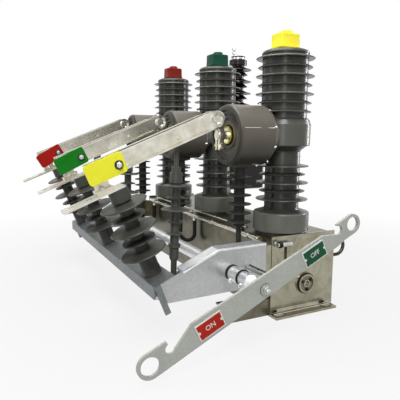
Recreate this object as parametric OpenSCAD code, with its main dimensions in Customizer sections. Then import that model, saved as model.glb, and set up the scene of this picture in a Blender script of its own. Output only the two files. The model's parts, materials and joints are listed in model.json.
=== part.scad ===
// Outdoor three-phase vacuum circuit breaker with current transformers and a
// hand-operated disconnector on a galvanised front frame.
// X runs along the row of poles, -Y points to the line side, Z is up.

/* [Phases] */
// Distance between neighbouring poles
phase_pitch = 340; // [300:5:400]
// Diameter of the smooth curved surfaces' facets: segments in a full turn
round_fn = 72; // [48:4:120]

/* [Mechanism box] */
// Free strip of the box's top between the outer poles' feet and the end plates
end_free = 1; // [1:1:45]
// Depth of the box in front of the pole axes
box_front = 76; // [72:1:110]
// Depth of the box behind the pole axes
box_back = 120; // [90:1:180]
// Height of the box
box_h = 190; // [170:1:240]
// Thickness of the stainless end plates
end_t = 5; // [3:0.5:8]
// Width of the foot flange outside each end plate
flange_w = 36; // [30:1:50]
// Thickness of the foot flange
flange_t = 6; // [4:0.5:10]
// Width of the foot slots
slot_w = 14; // [10:1:18]
// Length of the foot slots
slot_len = 31; // [20:1:40]
// Distance between the two slots of a foot flange
slot_pitch = 150; // [100:1:154]
// Height of the two front feet
foot_h = 42; // [30:1:60]
// Length of the two front feet in front of the box
foot_len = 128; // [80:1:160]

/* [Poles] */
// Radius of the base flange of the support insulator
base_r = 70.5; // [60:0.5:76]
// Height of the base flange
base_h = 56; // [40:1:70]
// Core radius of the support insulator
support_r = 43.5; // [36:0.5:50]
// Length of the support insulator
support_len = 206; // [190:1:280]
// Radius of the middle block
block_r = 66; // [62:0.5:76]
// Height of the middle block
block_h = 54; // [44:1:80]
// Radius of the interrupter housing
housing_r = 56; // [48:0.5:60]
// Length of the interrupter housing above the middle block
housing_len = 177; // [158:1:220]
// Reach of the large sheds of the housing beyond its wall
shed_out = 16; // [10:0.5:20]
// Height from one shed to the next
shed_pitch = 21.4; // [18:0.2:26]
// Width of the coloured phase cap, along the row of poles
cap_w = 45; // [40:1:56]
// Depth of the coloured phase cap
cap_d = 58; // [52:1:66]

// Height of the coloured phase cap
cap_h = 36; // [30:1:50]

/* [Current transformers] */
// Radius of the current transformer
ct_r = 71.5; // [60:0.5:80]
// Length of the current transformer
ct_len = 101; // [80:1:130]
// Reach of the transformers' necks in front of the middle blocks
neck_out = 1.5; // [1:0.5:12]
// Radius of the brass conductor in the middle of the transformer
ct_stud_r = 19; // [14:0.5:24]
// Core radius of the riser insulators below the transformers
riser_core_r = 13.5; // [11:0.5:17]
// Radius of the riser insulators' sheds
riser_shed_r = 30; // [24:1:36]
// Radius of the hoses below the riser insulators
hose_r = 5.5; // [4:0.5:7]

/* [Disconnector] */
// Slope of the front beam, the line terminals and the closed blades
tilt = 22; // [18:1:26]
// Height of the operating shaft's axis
shaft_z = 140; // [130:1:170]
// Distance of the operating shaft's axis in front of the pole axes
shaft_y = 212; // [200:1:230]
// Radius of the torque tube
tube_r = 15; // [13:0.5:18]
// Radius of the shaft end that runs in the bearings
journal_r = 11; // [9:0.5:13]
// Running clearance of pins and journals, on the radius
run_fit = 0.05; // [0.02:0.01:0.1]
// Length of the cranks and of the blades' arms
arm_len = 100; // [90:1:101]
// Direction of the cranks from the shaft at rest
arm_angle = 205; // [203:1:208]
// Height of the blade hinges above the shaft's axis
hinge_up = 332; // [320:1:350]
// Length of the blades from the hinge to the free end
blade_len = 314; // [304:1:330]
// Height of the blade channels
blade_h = 38; // [34:1:44]
// Gap between the two channels of a blade
blade_gap = 18; // [16:1:24]
// Thickness of the blade channels
blade_t = 4; // [3:0.5:6]
// Width of the blade channels' flanges
blade_flange = 14; // [10:1:18]
// Radius of the blade hinge pins
hinge_pin_r = 6; // [5:0.5:8]
// Radius of the crank pins and blade arm pins
rod_pin_r = 5; // [4:0.5:6]
// Clearance of the rods' upper eyes on their pins, on the radius
eye_play = 0.5; // [0.3:0.1:1]
// Length of the phase colour tags
tag_len = 86; // [70:1:100]
// Height of the phase colour tags
tag_h = 45; // [40:1:50]

/* [Front frame] */
// Thickness of the galvanised plates
plate_t = 4; // [3:0.5:5]
// Width of the sloping top of the front beam
beam_w = 53; // [50:1:54]
// Depth of the front beam's face
beam_drop = 27; // [22:1:40]
// Distance of the front beam's front edge in front of the pole axes
beam_y = 378; // [372:1:400]
// Height of the front beam's front edge
beam_z = 117; // [108:1:124]
// Length of the post insulators
post_len = 211; // [200:1:230]
// Radius of the large sheds of the post insulators
post_shed_r = 53; // [44:1:60]
// Width of the line terminal bars
line_bar_w = 40; // [34:1:50]
// Length of the line terminal bars
line_bar_len = 137; // [120:1:160]
// Thickness of the line terminal bars
line_bar_t = 4; // [3:0.5:8]
// Radius of the line terminals' bolt holes
line_hole_r = 6.5; // [5:0.5:8]

/* [Handle] */
// Distance of the handle's plate outside the side plate
handle_out = 157; // [120:1:180]
// Distance from the shaft to the centre of the lower hook ring
handle_low = 260; // [230:1:270]
// Distance from the shaft to the centre of the upper hook ring
handle_high = 247; // [210:1:255]
// Width of the handle
handle_w = 46; // [40:1:54]
// Thickness of the handle
handle_t = 6; // [5:0.5:10]
// Slope of the handle at rest
handle_tilt = 25; // [20:1:30]
// Height of the hook rings above the line through the shaft
ring_up = 7.5; // [4:0.5:10]
// Radius of the lower hook ring's hole
low_hole_r = 18; // [15:0.5:20]
// Radius of the upper hook ring's hole
high_hole_r = 15; // [12:0.5:18]

/* [Supply transformer] */
// Place of the supply transformer along the row of poles
supply_x = -174; // [-190:1:-150]
// Distance of the supply transformer's axis behind the pole axes
supply_y = 181; // [175:1:220]
// Half the side of the supply transformer's square body
supply_r = 76; // [60:1:84]
// Height of the supply transformer's body
supply_h = 90; // [70:1:120]
// Length of the supply transformer's bushing
bushing_len = 347; // [320:1:400]

/* [Hidden] */

// phase positions along X
x_yellow = phase_pitch;
x_green = 0;
x_red = -phase_pitch;
phases = [x_yellow, x_green, x_red];
sides = [1, -1];

// places that several pieces share
foot_r = base_r - 6.5;                     // radius of the poles' feet on the box
box_half = phase_pitch + foot_r + end_free + end_t;
box_len = 2 * box_half;
plate_up = 6;                              // the end plates stand over the box by this much
slot_x = box_half + 16;                    // slots of the foot flanges, along X
slot_mid = 15;                             // middle between the two slots, along Y
plate_in = box_half;                       // inner face of a side plate
plate_out = box_half + plate_t;            // outer face of a side plate
shoulder_h = 16;                           // cone from the support insulator to the middle block
block_z = box_h + support_len + shoulder_h; // underside of the middle block
ct_z = block_z + 24;                       // axis of the current transformers
ct_gap = block_r + 1 + neck_out;           // distance of their back face from the pole axes
ct_front = ct_gap + ct_len;                // distance of their front face from the pole axes
housing_top = block_z + block_h + housing_len;
cap_z = housing_top + 2;                   // underside of the phase caps
stud_h = cap_h - 12;                       // height of the studs below the caps
hinge_z = shaft_z + hinge_up;
hinge_y = shaft_y - 10;                    // the hinges stand 10 mm nearer the poles
arm_dy = arm_len * cos(arm_angle);
arm_dz = arm_len * sin(arm_angle);
rod_dy = shaft_y - hinge_y;                // the pull rod is parallel to the line of pivots
rod_len = sqrt(pow(rod_dy, 2) + pow(hinge_up, 2));
rod_lean = atan2(rod_dy, hinge_up);        // lean of the pull rod from the vertical
post_foot = 26;                            // post axis from the beam's front edge, up the slope
riser_y = 127;                             // axis of the riser insulators
pipe_y = box_front + 13;                   // axis of the conduit
pipe_z = box_h - 4;
hose_x = 22;                               // the hoses rise this far beside the riser insulators
hose_low = box_h - 60;                     // height where the hoses start to turn
pad_z = ct_z - ct_r - 4;                   // underside of the pads below the transformers
handle_x = plate_out + handle_out;         // inner face of the handle
bearing_len = 38;
bearing_r = journal_r + 6;
supply_base = box_h + 57;                  // underside of the supply transformer
rod_eye_w = blade_gap - 6;                 // width of the pull rods' upper eyes
eye_r = 10;                                // outer radius of the cranks' and the rods' eyes
crank_t = 6;
crank_gap = 28;

// a shed's outline, from its underside at the core up to its top at the core
function shed(core, tip, z, root = 8, edge = 1.6) =
    [[core, z], [tip - edge, z], [tip, z + edge], [tip - edge, z + 2 * edge], [core, z + root]];

function flat(lists) = [for (l = lists) for (p = l) p];

// a round body whose outline is given from bottom to top, with sheds between
module turned(outline) {
    rotate_extrude($fn = round_fn) polygon(concat([[0, outline[0][1]]], outline,
        [[0, outline[len(outline) - 1][1]]]));
}

module along_y(x, y, z) {
    translate([x, y, z]) rotate([90, 0, 0]) children();
}

module along_x(x, y, z) {
    translate([x, y, z]) rotate([0, 90, 0]) children();
}

module both_ends() {
    for (s = sides) scale_side(s) children();
}

// the child is drawn at the +X end, and mirrored for the other end
module scale_side(s) {
    if (s > 0) children();
    else mirror([1, 0, 0]) children();
}

// the tilted frame of the front beam: origin on its front top edge, -Y down the slope
module on_slope(x) {
    translate([x, -beam_y, beam_z]) rotate([tilt, 0, 0]) children();
}

// point of the front beam's section, given as run up the slope and height above it
function on_top(run, rise) = [
    -beam_y + run * cos(tilt) - rise * sin(tilt),
    beam_z + run * sin(tilt) + rise * cos(tilt)];

// the frame of a closed blade: origin on its hinge, -Y along the blade to its free end
module on_blade(x) {
    translate([x, -hinge_y, hinge_z]) rotate([tilt, 0, 0]) children();
}

// ---------------------------------------------------------------- mechanism box

module mechanism_box() {
    color("#b9b5a3") difference() {
        translate([-box_half + end_t, -box_front, 0])
            cube([box_len - 2 * end_t, box_front + box_back, box_h]);
        // groove below the lid's edge, at the front and at the back
        for (y = [-box_front - 1, box_back - 1])
            translate([-box_half, y, box_h - 14]) cube([box_len, 2, 2]);
    }
}

module foot_slot(y) {
    x = slot_x;
    for (dy = [-(slot_len - slot_w) / 2, (slot_len - slot_w) / 2])
        translate([x, y + dy, -1]) cylinder(r = slot_w / 2, h = flange_t + 2, $fn = 48);
    translate([x - slot_w / 2, y - (slot_len - slot_w) / 2, -1])
        cube([slot_w, slot_len - slot_w, flange_t + 2]);
}

module end_plate() {
    lever_slot_y = -box_front + 36;
    difference() {
        union() {
            translate([box_half - end_t, -box_front, 0])
                cube([end_t, box_front + box_back, box_h + plate_up]);
            translate([box_half - end_t, -box_front - 4, 0])
                cube([flange_w, box_front + box_back - 8, flange_t]);
        }
        for (s = sides) foot_slot(slot_mid + s * slot_pitch / 2);
        translate([box_half - end_t - 1, lever_slot_y, box_h - 52]) cube([end_t + 2, 9, 30]);
    }
}

module end_plates() {
    color("#bdb8a4") both_ends() end_plate();
}

// C-section feet that carry the front frame's share of the weight
module front_foot() {
    w = 38;
    t = 4;
    translate([box_half - end_t - w, -box_front - foot_len, 0]) difference() {
        cube([w, foot_len, foot_h]);
        translate([-1, -1, t]) cube([w - t + 1, foot_len + 2, foot_h - 2 * t]);
    }
}

module front_feet() {
    color("#8d8c80") both_ends() front_foot();
}

// angle that ties a side plate to the box, below the plate's lip
module side_bracket() {
    h = 64;
    z = min(box_h - 5, bend_z + 3) - plate_t - 1 - h;
    translate([plate_in - end_t, -box_front - 56, z]) cube([end_t, 54, h]);
    translate([plate_in - 42, -box_front - 4, z]) cube([39, 4, h]);
}

module side_brackets() {
    color("#c0bba6") both_ends() side_bracket();
}

// round socket for the charging crank, on the end plate
module crank_socket() {
    socket_y = 29;
    socket_z = 69;
    color("#8f8c7c") along_x(box_half, socket_y, socket_z) difference() {
        union() {
            cylinder(r = 28, h = 3, $fn = round_fn);
            cylinder(r = 24, h = 8, $fn = round_fn);
        }
        translate([0, 0, 5]) difference() {
            cylinder(r = 20, h = 4, $fn = round_fn);
            translate([0, 0, -1]) cylinder(r = 10, h = 6, $fn = round_fn);
        }
        translate([0, 0, 2]) cylinder(r = 6.5, h = 7, $fn = 48);
    }
}

// level lever above its slot in the end plate
module interlock_lever() {
    lever_z = box_h - 12;
    color("#c9c9c5") {
        along_y(box_half + 10, -box_front + 50, lever_z) cylinder(r = 5.5, h = 42, $fn = 48);
        along_x(box_half, -box_front + 16, lever_z) cylinder(r = 7, h = 10, $fn = 48);
        // threaded stop rod of the interlock, beside the operating shaft
        along_x(plate_out, -shaft_y + 66, shaft_z - 6) cylinder(r = 5.5, h = 72, $fn = 48);
        along_x(plate_out, -shaft_y + 66, shaft_z - 6) cylinder(r = 10, h = 9, $fn = 6);
    }
}

// bent bars for lifting, on the back of the box
module lifting_eyes() {
    ring_r = 22.5;
    bar_r = 4.5;
    leg = 25;
    color("#3c3c3a") for (s = sides) translate([s * (box_half - 16), box_back + leg, box_h - 42]) {
        rotate([0, 90, 0]) rotate_extrude(angle = 180, $fn = round_fn)
            translate([ring_r, 0]) circle(r = bar_r, $fn = 32);
        for (d = [-ring_r, ring_r])
            along_y(0, 0, d) cylinder(r = bar_r, h = leg, $fn = 32);
    }
}

// ---------------------------------------------------------------- poles

module support_insulator(x) {
    core = support_r;
    big = core + 22.5;
    small = core + 14.5;
    pitch = 21;
    first = base_h + 29;
    sheds = [for (i = [0 : 4]) shed(core, i % 2 == 0 ? big : small, first + i * pitch, 7)];
    translate([x, 0, box_h]) turned(concat(
        [[foot_r, 0], [foot_r, plate_up + 1.5], [base_r, plate_up + 3], [base_r, base_h - 3],
         [base_r - 2, base_h - 1], [core + 3, base_h + 6], [core, base_h + 10]],
        flat(sheds),
        [[core, support_len]]));
}

module support_insulators() {
    color("#5a5b56") for (x = phases) support_insulator(x);
}

module interrupter_pole(x) {
    r = housing_r;
    top = shoulder_h + block_h + housing_len;
    shed_z = shoulder_h + block_h + 26;
    tips = [for (i = [0 : 6]) r + shed_out - (i % 2 == 0 && i > 0 ? 0 : 5)];
    sheds = [for (i = [0 : 6]) shed(r, tips[i], shed_z + i * shed_pitch, 7.5)];
    color("#5a5b56") {
        translate([x, 0, box_h + support_len]) turned(concat(
            [[support_r, 0], [support_r + 1, 3], [block_r - 8, shoulder_h - 2],
             [block_r - 1, shoulder_h - 1], [block_r, shoulder_h + 1],
             [block_r + 1, shoulder_h + block_h - 3], [block_r - 1, shoulder_h + block_h + 2],
             [r + 7, shoulder_h + block_h + 8], [r + 3, shoulder_h + block_h + 12],
             [r, shoulder_h + block_h + 13]],
            flat(sheds),
            [[r, top - 12], [r + 2, top - 11], [r + 2, top - 8], [r - 1, top - 4], [r - 8, top - 1],
             [r - 14, top], [28, top], [26, top + 2]]));
        // neck that carries the current transformer
        along_y(x, -support_r - 3, ct_z)
            cylinder(r = 50, h = ct_gap - support_r - 3, $fn = round_fn);
    }
}

module phase_cap(x, paint) {
    color(paint) difference() {
        union() {
            translate([x - cap_w / 2, -cap_d / 2 - 2, cap_z]) cube([cap_w, cap_d, cap_h]);
            translate([x, 0, cap_z + cap_h]) cylinder(r = 16, h = 8, $fn = round_fn);
        }
        translate([x, 0, cap_z - 1]) cylinder(r = 16, h = stud_h + 2, $fn = round_fn);
    }
}

// studs that the line's wires are fixed to, below the caps
module top_terminals() {
    color("#d4d4d0") for (x = phases) translate([x, 0, cap_z])
        cylinder(r = 15, h = stud_h, $fn = round_fn);
}

// ---------------------------------------------------------------- current transformers

module current_transformer(x) {
    r = ct_r;
    l = ct_len;
    color("#5f605a") difference() {
        union() {
            // outline from the back face to the front, where four steps lead inwards
            along_y(x, -ct_gap, ct_z) turned([
                [r - 5, 0], [r - 1.5, 1.5], [r, 5], [r, l - 7], [r - 2, l - 2], [r - 6, l],
                [r - 13, l], [r - 14, l - 4], [r - 22, l - 4], [r - 23, l - 8], [r - 31, l - 8],
                [r - 32, l - 12], [r - 40, l - 12], [r - 41, l - 9], [r - 47, l - 9],
                [r - 47, l - 16]]);
            // pad for the riser insulator
            translate([x - 22, -riser_y - 22, pad_z]) cube([44, 44, 20]);
        }
        along_y(x, -ct_front + 30, ct_z) cylinder(r = ct_stud_r + 0.3, h = 40, $fn = round_fn);
    }
}

// brass conductor, split clamp and blade hinge of each phase
module transformer_terminal(x) {
    recess = 16;                             // depth of the transformer's stepped front
    stud = 10;                               // radius of the stud in the clamp
    clamp_y = ct_front + 8;                  // back of the split clamp
    clamp_t = 12;
    clamp_w = 20.6;
    leg = 34;                                // reach of the clamp's legs below the stud's axis
    slit = 4.6;
    lug_t = blade_gap - 6;
    head = 8;                                // height of the hinge pin's nuts
    along_y(x, -ct_front + 30, ct_z) cylinder(r = ct_stud_r, h = 20, $fn = round_fn);
    along_y(x, -ct_front + recess, ct_z) cylinder(r = ct_stud_r + 1.5, h = 11.5, $fn = round_fn);
    along_y(x, -ct_front + recess, ct_z)
        cylinder(r = stud, h = recess + 8 + clamp_t + 1.5, $fn = round_fn);
    difference() {
        union() {
            along_y(x, -clamp_y, ct_z) cylinder(r = stud + 5, h = clamp_t, $fn = round_fn);
            translate([x - clamp_w / 2, -clamp_y - clamp_t, ct_z - leg])
                cube([clamp_w, clamp_t, leg]);
        }
        translate([x - slit / 2, -clamp_y - clamp_t - 1, ct_z - leg - 1])
            cube([slit, clamp_t + 2, leg - stud + 3]);
    }
    // bolt that draws the clamp's legs together
    along_x(x - clamp_w / 2 - 1, -clamp_y - clamp_t / 2, ct_z - leg + 10)
        cylinder(r = 3, h = clamp_w + 2, $fn = 48);
    for (s = sides) along_x(x + s * (clamp_w / 2 + 2.5) - 2.5, -clamp_y - clamp_t / 2, ct_z - leg + 10)
        cylinder(r = 6, h = 5, $fn = 6);
    // web from the clamp up to the hinge
    translate([x - lug_t / 2, -hinge_y, ct_z + 11])
        cube([lug_t, hinge_y - clamp_y, hinge_z + 16 - ct_z - 11]);
    along_x(x - lug_t / 2, -hinge_y, hinge_z) cylinder(r = 16, h = lug_t, $fn = round_fn);
    // hinge pin with its nuts
    along_x(x - blade_gap / 2 - blade_t - 5, -hinge_y, hinge_z)
        cylinder(r = hinge_pin_r, h = blade_gap + 2 * blade_t + 10, $fn = 48);
    for (s = sides) along_x(x + s * (blade_gap / 2 + blade_t + 4.5) - head / 2, -hinge_y, hinge_z)
        cylinder(r = 10, h = head, $fn = 6);
}

module transformer_terminals() {
    color("#d0cfc8") for (x = phases) transformer_terminal(x);
}

// shedded insulator that hangs from each transformer and leads its wires down
module riser_insulators() {
    core = riser_core_r;
    first = box_h + 36;
    pitch = 21.7;
    sheds = [for (i = [0 : 5]) shed(core, riser_shed_r, first + i * pitch, 5, 1.2)];
    color("#454642") for (x = phases) translate([x, -riser_y, 0]) turned(concat(
        [[6.5, hose_low + 17], [6.5, box_h + 22], [core - 1, box_h + 26], [core, box_h + 28]],
        flat(sheds),
        [[core, pad_z]]));
}

// hose from each riser insulator down and up again to the conduit
module hose(x) {
    run = riser_y - pipe_y;
    bend_r = sqrt(pow(hose_x, 2) + pow(run, 2)) / 2;
    translate([x, -riser_y, hose_low]) cylinder(r = hose_r, h = 17, $fn = 48);
    translate([x + hose_x, -pipe_y, hose_low])
        cylinder(r = hose_r, h = pipe_z - 14 - hose_low, $fn = 48);
    translate([x + hose_x / 2, -riser_y + run / 2, hose_low])
        rotate([-90, 0, atan2(run, hose_x)]) rotate_extrude(angle = 180, $fn = round_fn)
            translate([bend_r, 0]) circle(r = hose_r, $fn = 32);
}

module hoses() {
    color("#33332f") for (x = phases) hose(x);
}

// stainless pipes along the box's front top edge, with a tee above each hose
module conduit() {
    main_r = 5.5;
    thin_r = 3;
    tee_r = 7.5;
    clip_t = 10;
    color("#c4c3bb") {
        along_x(-phase_pitch - 20, -pipe_y, pipe_z)
            cylinder(r = main_r, h = 2 * phase_pitch + 54, $fn = 48);
        along_x(-phase_pitch + 40, -pipe_y + 6, pipe_z + 17)
            cylinder(r = thin_r, h = 2 * phase_pitch - 70, $fn = 48);
        // couplings between the lengths of pipe
        for (x = [-phase_pitch * 0.62, phase_pitch * 0.37, phase_pitch - 32])
            along_x(x, -pipe_y, pipe_z) cylinder(r = tee_r, h = 20, $fn = 48);
        for (x = phases) {
            along_x(x + hose_x - 10, -pipe_y, pipe_z) cylinder(r = tee_r, h = 20, $fn = 48);
            translate([x + hose_x, -pipe_y, pipe_z - 14]) cylinder(r = tee_r, h = 14, $fn = 48);
        }
        // clips on the box's front, that hold the thin pipe too
        for (x = [40 - phase_pitch, -15, phase_pitch - 60]) {
            translate([x, -pipe_y - 4, pipe_z - 6]) cube([clip_t, pipe_y + 4 - box_front, 14]);
            translate([x, -pipe_y + 3, pipe_z - 6]) cube([clip_t, 6, 26]);
        }
    }
}

// ---------------------------------------------------------------- front frame

slope = tan(tilt);
bend_y = shaft_y + 10;                       // where the side plate's top edge levels out
bend_z = beam_z + (beam_y - bend_y) * slope;
plate_low = beam_z - 38;                     // underside of the side plates
beam_strip = 13;                             // width of the strip at each end of the beam

module side_plate() {
    back = box_front + 20;
    lip = 34;
    t = plate_t;
    front = beam_strip + 1;                    // the front edge starts here, up the slope
    front_drop = (beam_z + front * sin(tilt) - plate_low) / cos(tilt);
    lip_end = -beam_y + beam_w + 14;
    lip_end_z = beam_z + (beam_w + 14) * slope;
    difference() {
        union() {
            translate([plate_in, 0, 0]) rotate([90, 0, 90]) linear_extrude(t) polygon([
                [-back, plate_low + 4], [-back, box_h - 5], [-bend_y, bend_z + 3],
                on_top(front, 0), on_top(front, -front_drop)]);
            // inward lip along the level and the sloping top edge
            translate([plate_in - lip, 0, 0]) rotate([90, 0, 90]) linear_extrude(lip) polygon([
                [-back, box_h - 5], [-bend_y, bend_z + 3], [lip_end, lip_end_z],
                [lip_end, lip_end_z - t], [-bend_y, bend_z + 3 - t], [-back, box_h - 5 - t]]);
        }
        along_x(plate_in - 1, -shaft_y, shaft_z)
            cylinder(r = bearing_r + 0.3, h = t + 2, $fn = round_fn);
    }
}

module side_plates() {
    color("#b9bdc0") both_ends() side_plate();
}

// folded beam: the top leans with the post insulators, the face is upright and
// a strip at each end closes the side plate's front edge
module front_beam() {
    w = beam_w;
    t = plate_t;
    color("#aeb3b6") {
        translate([-plate_in, 0, 0]) rotate([90, 0, 90]) linear_extrude(2 * plate_in) polygon([
            on_top(0, 0), on_top(w, 0), on_top(w, -t), [-beam_y + t, beam_z - t * 1.2],
            [-beam_y + t, beam_z - beam_drop], [-beam_y, beam_z - beam_drop]]);
        both_ends() translate([plate_in - 2, 0, 0]) rotate([90, 0, 90]) linear_extrude(t + 2)
            polygon([on_top(0, 0), on_top(beam_strip, 0), on_top(beam_strip, -70), on_top(0, -70)]);
    }
}

module shaft_bearings() {
    color("#b4b7b8") both_ends() difference() {
        union() {
            along_x(plate_in - 8, -shaft_y, shaft_z)
                cylinder(r = bearing_r, h = plate_t + bearing_len + 8, $fn = round_fn);
            along_x(plate_out, -shaft_y, shaft_z)
                cylinder(r = bearing_r + 2, h = 5, $fn = round_fn);
        }
        along_x(plate_in - 9, -shaft_y, shaft_z)
            cylinder(r = journal_r + run_fit, h = plate_t + bearing_len + 12, $fn = round_fn);
    }
}

module post_insulator(x) {
    core = 17;
    end_r = 22.5;                            // radius of the cast ends
    pitch = 29;
    first = 55;
    sheds = [for (i = [0 : 4])
        shed(core, post_shed_r - (i % 2 == 0 ? 0 : 14), first + i * pitch, 8, 1.8)];
    on_slope(x) translate([0, post_foot, 0]) turned(concat(
        [[end_r - 0.5, 0], [end_r - 0.5, 14], [end_r - 1.5, 15], [end_r - 1.5, 45], [core, 48]],
        flat(sheds),
        [[core, post_len - 30], [end_r, post_len - 28], [end_r, post_len]]));
}

module post_insulators() {
    color("#6c6d69") for (x = phases) post_insulator(x);
}

module line_terminals() {
    out = line_bar_len - 15;                 // reach of the bars down the slope
    color("#dcdbd2") for (x = phases) on_slope(x) translate([0, post_foot, post_len]) difference() {
        translate([-line_bar_w / 2, -out, 0]) cube([line_bar_w, line_bar_len, line_bar_t]);
        for (d = [20, 60])
            translate([0, -out + d, -1]) cylinder(r = line_hole_r, h = line_bar_t + 2, $fn = 48);
    }
}

// upright tongue that the closed blade straddles, on its foot
module fixed_contacts() {
    tongue_t = blade_gap - 5;
    color("#d3cbb0") for (x = phases) on_slope(x)
        translate([0, post_foot, post_len + line_bar_t]) {
            translate([-17, -46, 0]) cube([34, 38, 9]);
            translate([-tongue_t / 2, -42, 9]) cube([tongue_t, 30, 46]);
        }
}

// ---------------------------------------------------------------- disconnector

// one channel of a blade, on its +X side
module blade_channel() {
    h = blade_h;
    t = blade_t;
    x0 = blade_gap / 2;
    difference() {
        union() {
            translate([x0, -blade_len, -h / 2]) cube([t, blade_len, h]);
            along_x(x0, 0, 0) cylinder(r = h / 2, h = t, $fn = round_fn);
            for (z = [-h / 2, h / 2 - t])
                translate([x0, -blade_len, z]) cube([blade_flange, blade_len - 24, t]);
        }
        along_x(x0 - 1, 0, 0) cylinder(r = hinge_pin_r + run_fit, h = t + 2, $fn = 48);
    }
}

module blade(x) {
    arm_s = arm_len * cos(arm_angle - 180 - tilt);
    arm_d = arm_len * sin(arm_angle - 180 - tilt);
    half = blade_gap / 2 + blade_t;
    color("#d9d9d4") on_blade(x) {
        for (s = sides) scale_side(s) blade_channel();
        // spacers between the channels, clear of the rod's eye and the contact tongue
        for (d = [55, blade_len - 65])
            along_x(-blade_gap / 2, -d, 0) cylinder(r = 8, h = blade_gap, $fn = 48);
        // pin of the pull rod's upper eye
        along_x(-half - 6, -arm_s, -arm_d) cylinder(r = rod_pin_r, h = 2 * half + 12, $fn = 48);
    }
}

// the tag hangs on one bolt near its inner edge, and may sit turned about it
module phase_tag(x, paint, turn) {
    t = 3;
    bolt_d = blade_len - tag_len + 25;       // the bolt's distance from the hinge
    color(paint) on_blade(x) translate([blade_gap / 2 + blade_flange, -bolt_d, 0])
        rotate([turn, 0, 0]) translate([0, 15 - tag_len, -tag_h / 2])
            cube([t, tag_len, tag_h]);
}

module pull_rod(x) {
    top = rod_len;
    core = 10;
    small = 20;
    big = 32;
    color("#62635e") translate([x, -shaft_y + arm_dy, shaft_z + arm_dz]) rotate([-rod_lean, 0, 0]) {
        difference() {
            union() {
                // bell, core with its sheds, metal cap and the rod up to the eye
                turned(concat(
                    [[7, 8], [7, 50], [9, 54], [11, 58], [11, 82], [14, 84], [14, 91], [core, 93]],
                    shed(core, small, top - 218, 5, 1.2), shed(core, small, top - 191, 5, 1.2),
                    shed(core, big + 1, top - 163, 8, 1.5), shed(core, small + 2, top - 136, 5, 1.2),
                    shed(core, big - 1, top - 109, 6, 1.5),
                    [[14, top - 101], [14, top - 77], [10.5, top - 76], [10.5, top - 66],
                     [5, top - 65], [5, top - 6]]));
                along_x(-crank_gap / 2 + 2, 0, 0) cylinder(r = eye_r, h = crank_gap - 4, $fn = round_fn);
                along_x(-rod_eye_w / 2, 0, top) cylinder(r = eye_r, h = rod_eye_w, $fn = round_fn);
            }
            along_x(-crank_gap, 0, 0) cylinder(r = rod_pin_r + run_fit, h = 2 * crank_gap, $fn = 48);
            along_x(-crank_gap, 0, top) cylinder(r = rod_pin_r + eye_play, h = 2 * crank_gap, $fn = 48);
        }
    }
}

// crank of one phase: two tapered cheeks welded on the torque tube, with a pin between them
module crank(x) {
    pin_out = 4;
    half = crank_gap / 2 + crank_t;
    for (s = sides) translate([x + s * (crank_gap + crank_t) / 2 - crank_t / 2, -shaft_y, shaft_z])
        rotate([arm_angle - 180, 0, 0]) rotate([90, 0, 90]) difference() {
            linear_extrude(crank_t) union() {
                polygon([[0, 13], [-arm_len, eye_r - 2], [-arm_len, 2 - eye_r], [0, -13]]);
                translate([-arm_len, 0]) circle(r = eye_r, $fn = round_fn);
            }
            translate([0, 0, -1]) cylinder(r = tube_r, h = crank_t + 2, $fn = round_fn);
        }
    along_x(x - half - pin_out, -shaft_y + arm_dy, shaft_z + arm_dz)
        cylinder(r = rod_pin_r, h = 2 * (half + pin_out), $fn = 48);
}

module shaft_cranks() {
    color("#b0b3b4") for (x = phases) crank(x);
}

module operating_shaft() {
    tube_half = plate_in - 14;
    shaft_end = plate_out + bearing_len + 6;
    collar_x = plate_out + bearing_len + 8;
    color("#b0b3b4") {
        along_x(-tube_half, -shaft_y, shaft_z)
            cylinder(r = tube_r, h = 2 * tube_half, $fn = round_fn);
        along_x(-shaft_end, -shaft_y, shaft_z)
            cylinder(r = journal_r, h = shaft_end + collar_x + 1, $fn = round_fn);
        // clamp collar and sleeve outside the near bearing, and the end that carries the handle
        along_x(collar_x, -shaft_y, shaft_z) rotate_extrude($fn = round_fn) polygon([
            [0, 0], [journal_r + 6, 0], [journal_r + 6, 33], [journal_r + 3, 33.5],
            [journal_r + 3, 37], [journal_r + 4.5, 37.5], [journal_r + 4.5, 66], [journal_r - 2, 78],
            [journal_r - 2, handle_x - collar_x], [0, handle_x - collar_x]]);
    }
}

low_edge = ring_up - low_hole_r - 6.5;       // lower edge of the handle, level with the low ring
// height of the handle's upper edge, which falls a little towards the upper end
function handle_top(along) = low_edge + handle_w - 1 - along * 0.02;

// half of the handle's outline: it ends in a hook ring, beside a notch with a lip
module hook_end(along, hole_r, top) {
    out_r = hole_r + 6.5;
    notch_r = 10;
    mid = along - 1.86 * out_r;
    difference() {
        union() {
            translate([along, ring_up]) circle(r = out_r, $fn = round_fn);
            polygon([
                [0, low_edge], [mid - 15, low_edge], [mid + 10, ring_up - out_r],
                [along, ring_up - out_r], [along, ring_up + out_r],
                [mid + 1, ring_up + out_r - 1], [mid + 1, 14.5], [mid + 1 - notch_r, 9],
                [mid + 1 - notch_r - 2 * (top - 9), top], [0, handle_top(0)]]);
        }
        translate([mid, 14.5]) circle(r = notch_r, $fn = 48);
    }
}

// flat lever with a hook ring and a hook notch at each end
module operating_handle() {
    color("#c6c8c3") translate([handle_x, -shaft_y, shaft_z]) rotate([handle_tilt, 0, 0])
        rotate([90, 0, 90]) difference() {
            linear_extrude(handle_t) union() {
                hook_end(handle_high, high_hole_r, handle_top(166));
                mirror([1, 0]) hook_end(handle_low, low_hole_r, handle_top(-163));
            }
            translate([handle_high, ring_up, -1])
                cylinder(r = high_hole_r, h = handle_t + 2, $fn = round_fn);
            translate([-handle_low, ring_up, -1])
                cylinder(r = low_hole_r, h = handle_t + 2, $fn = round_fn);
        }
    color("#b4b7b8") along_x(handle_x + handle_t, -shaft_y, shaft_z) {
        cylinder(r = 12, h = 2.5, $fn = 48);
        cylinder(r = 8, h = 9, $fn = 6);
    }
}

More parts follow.
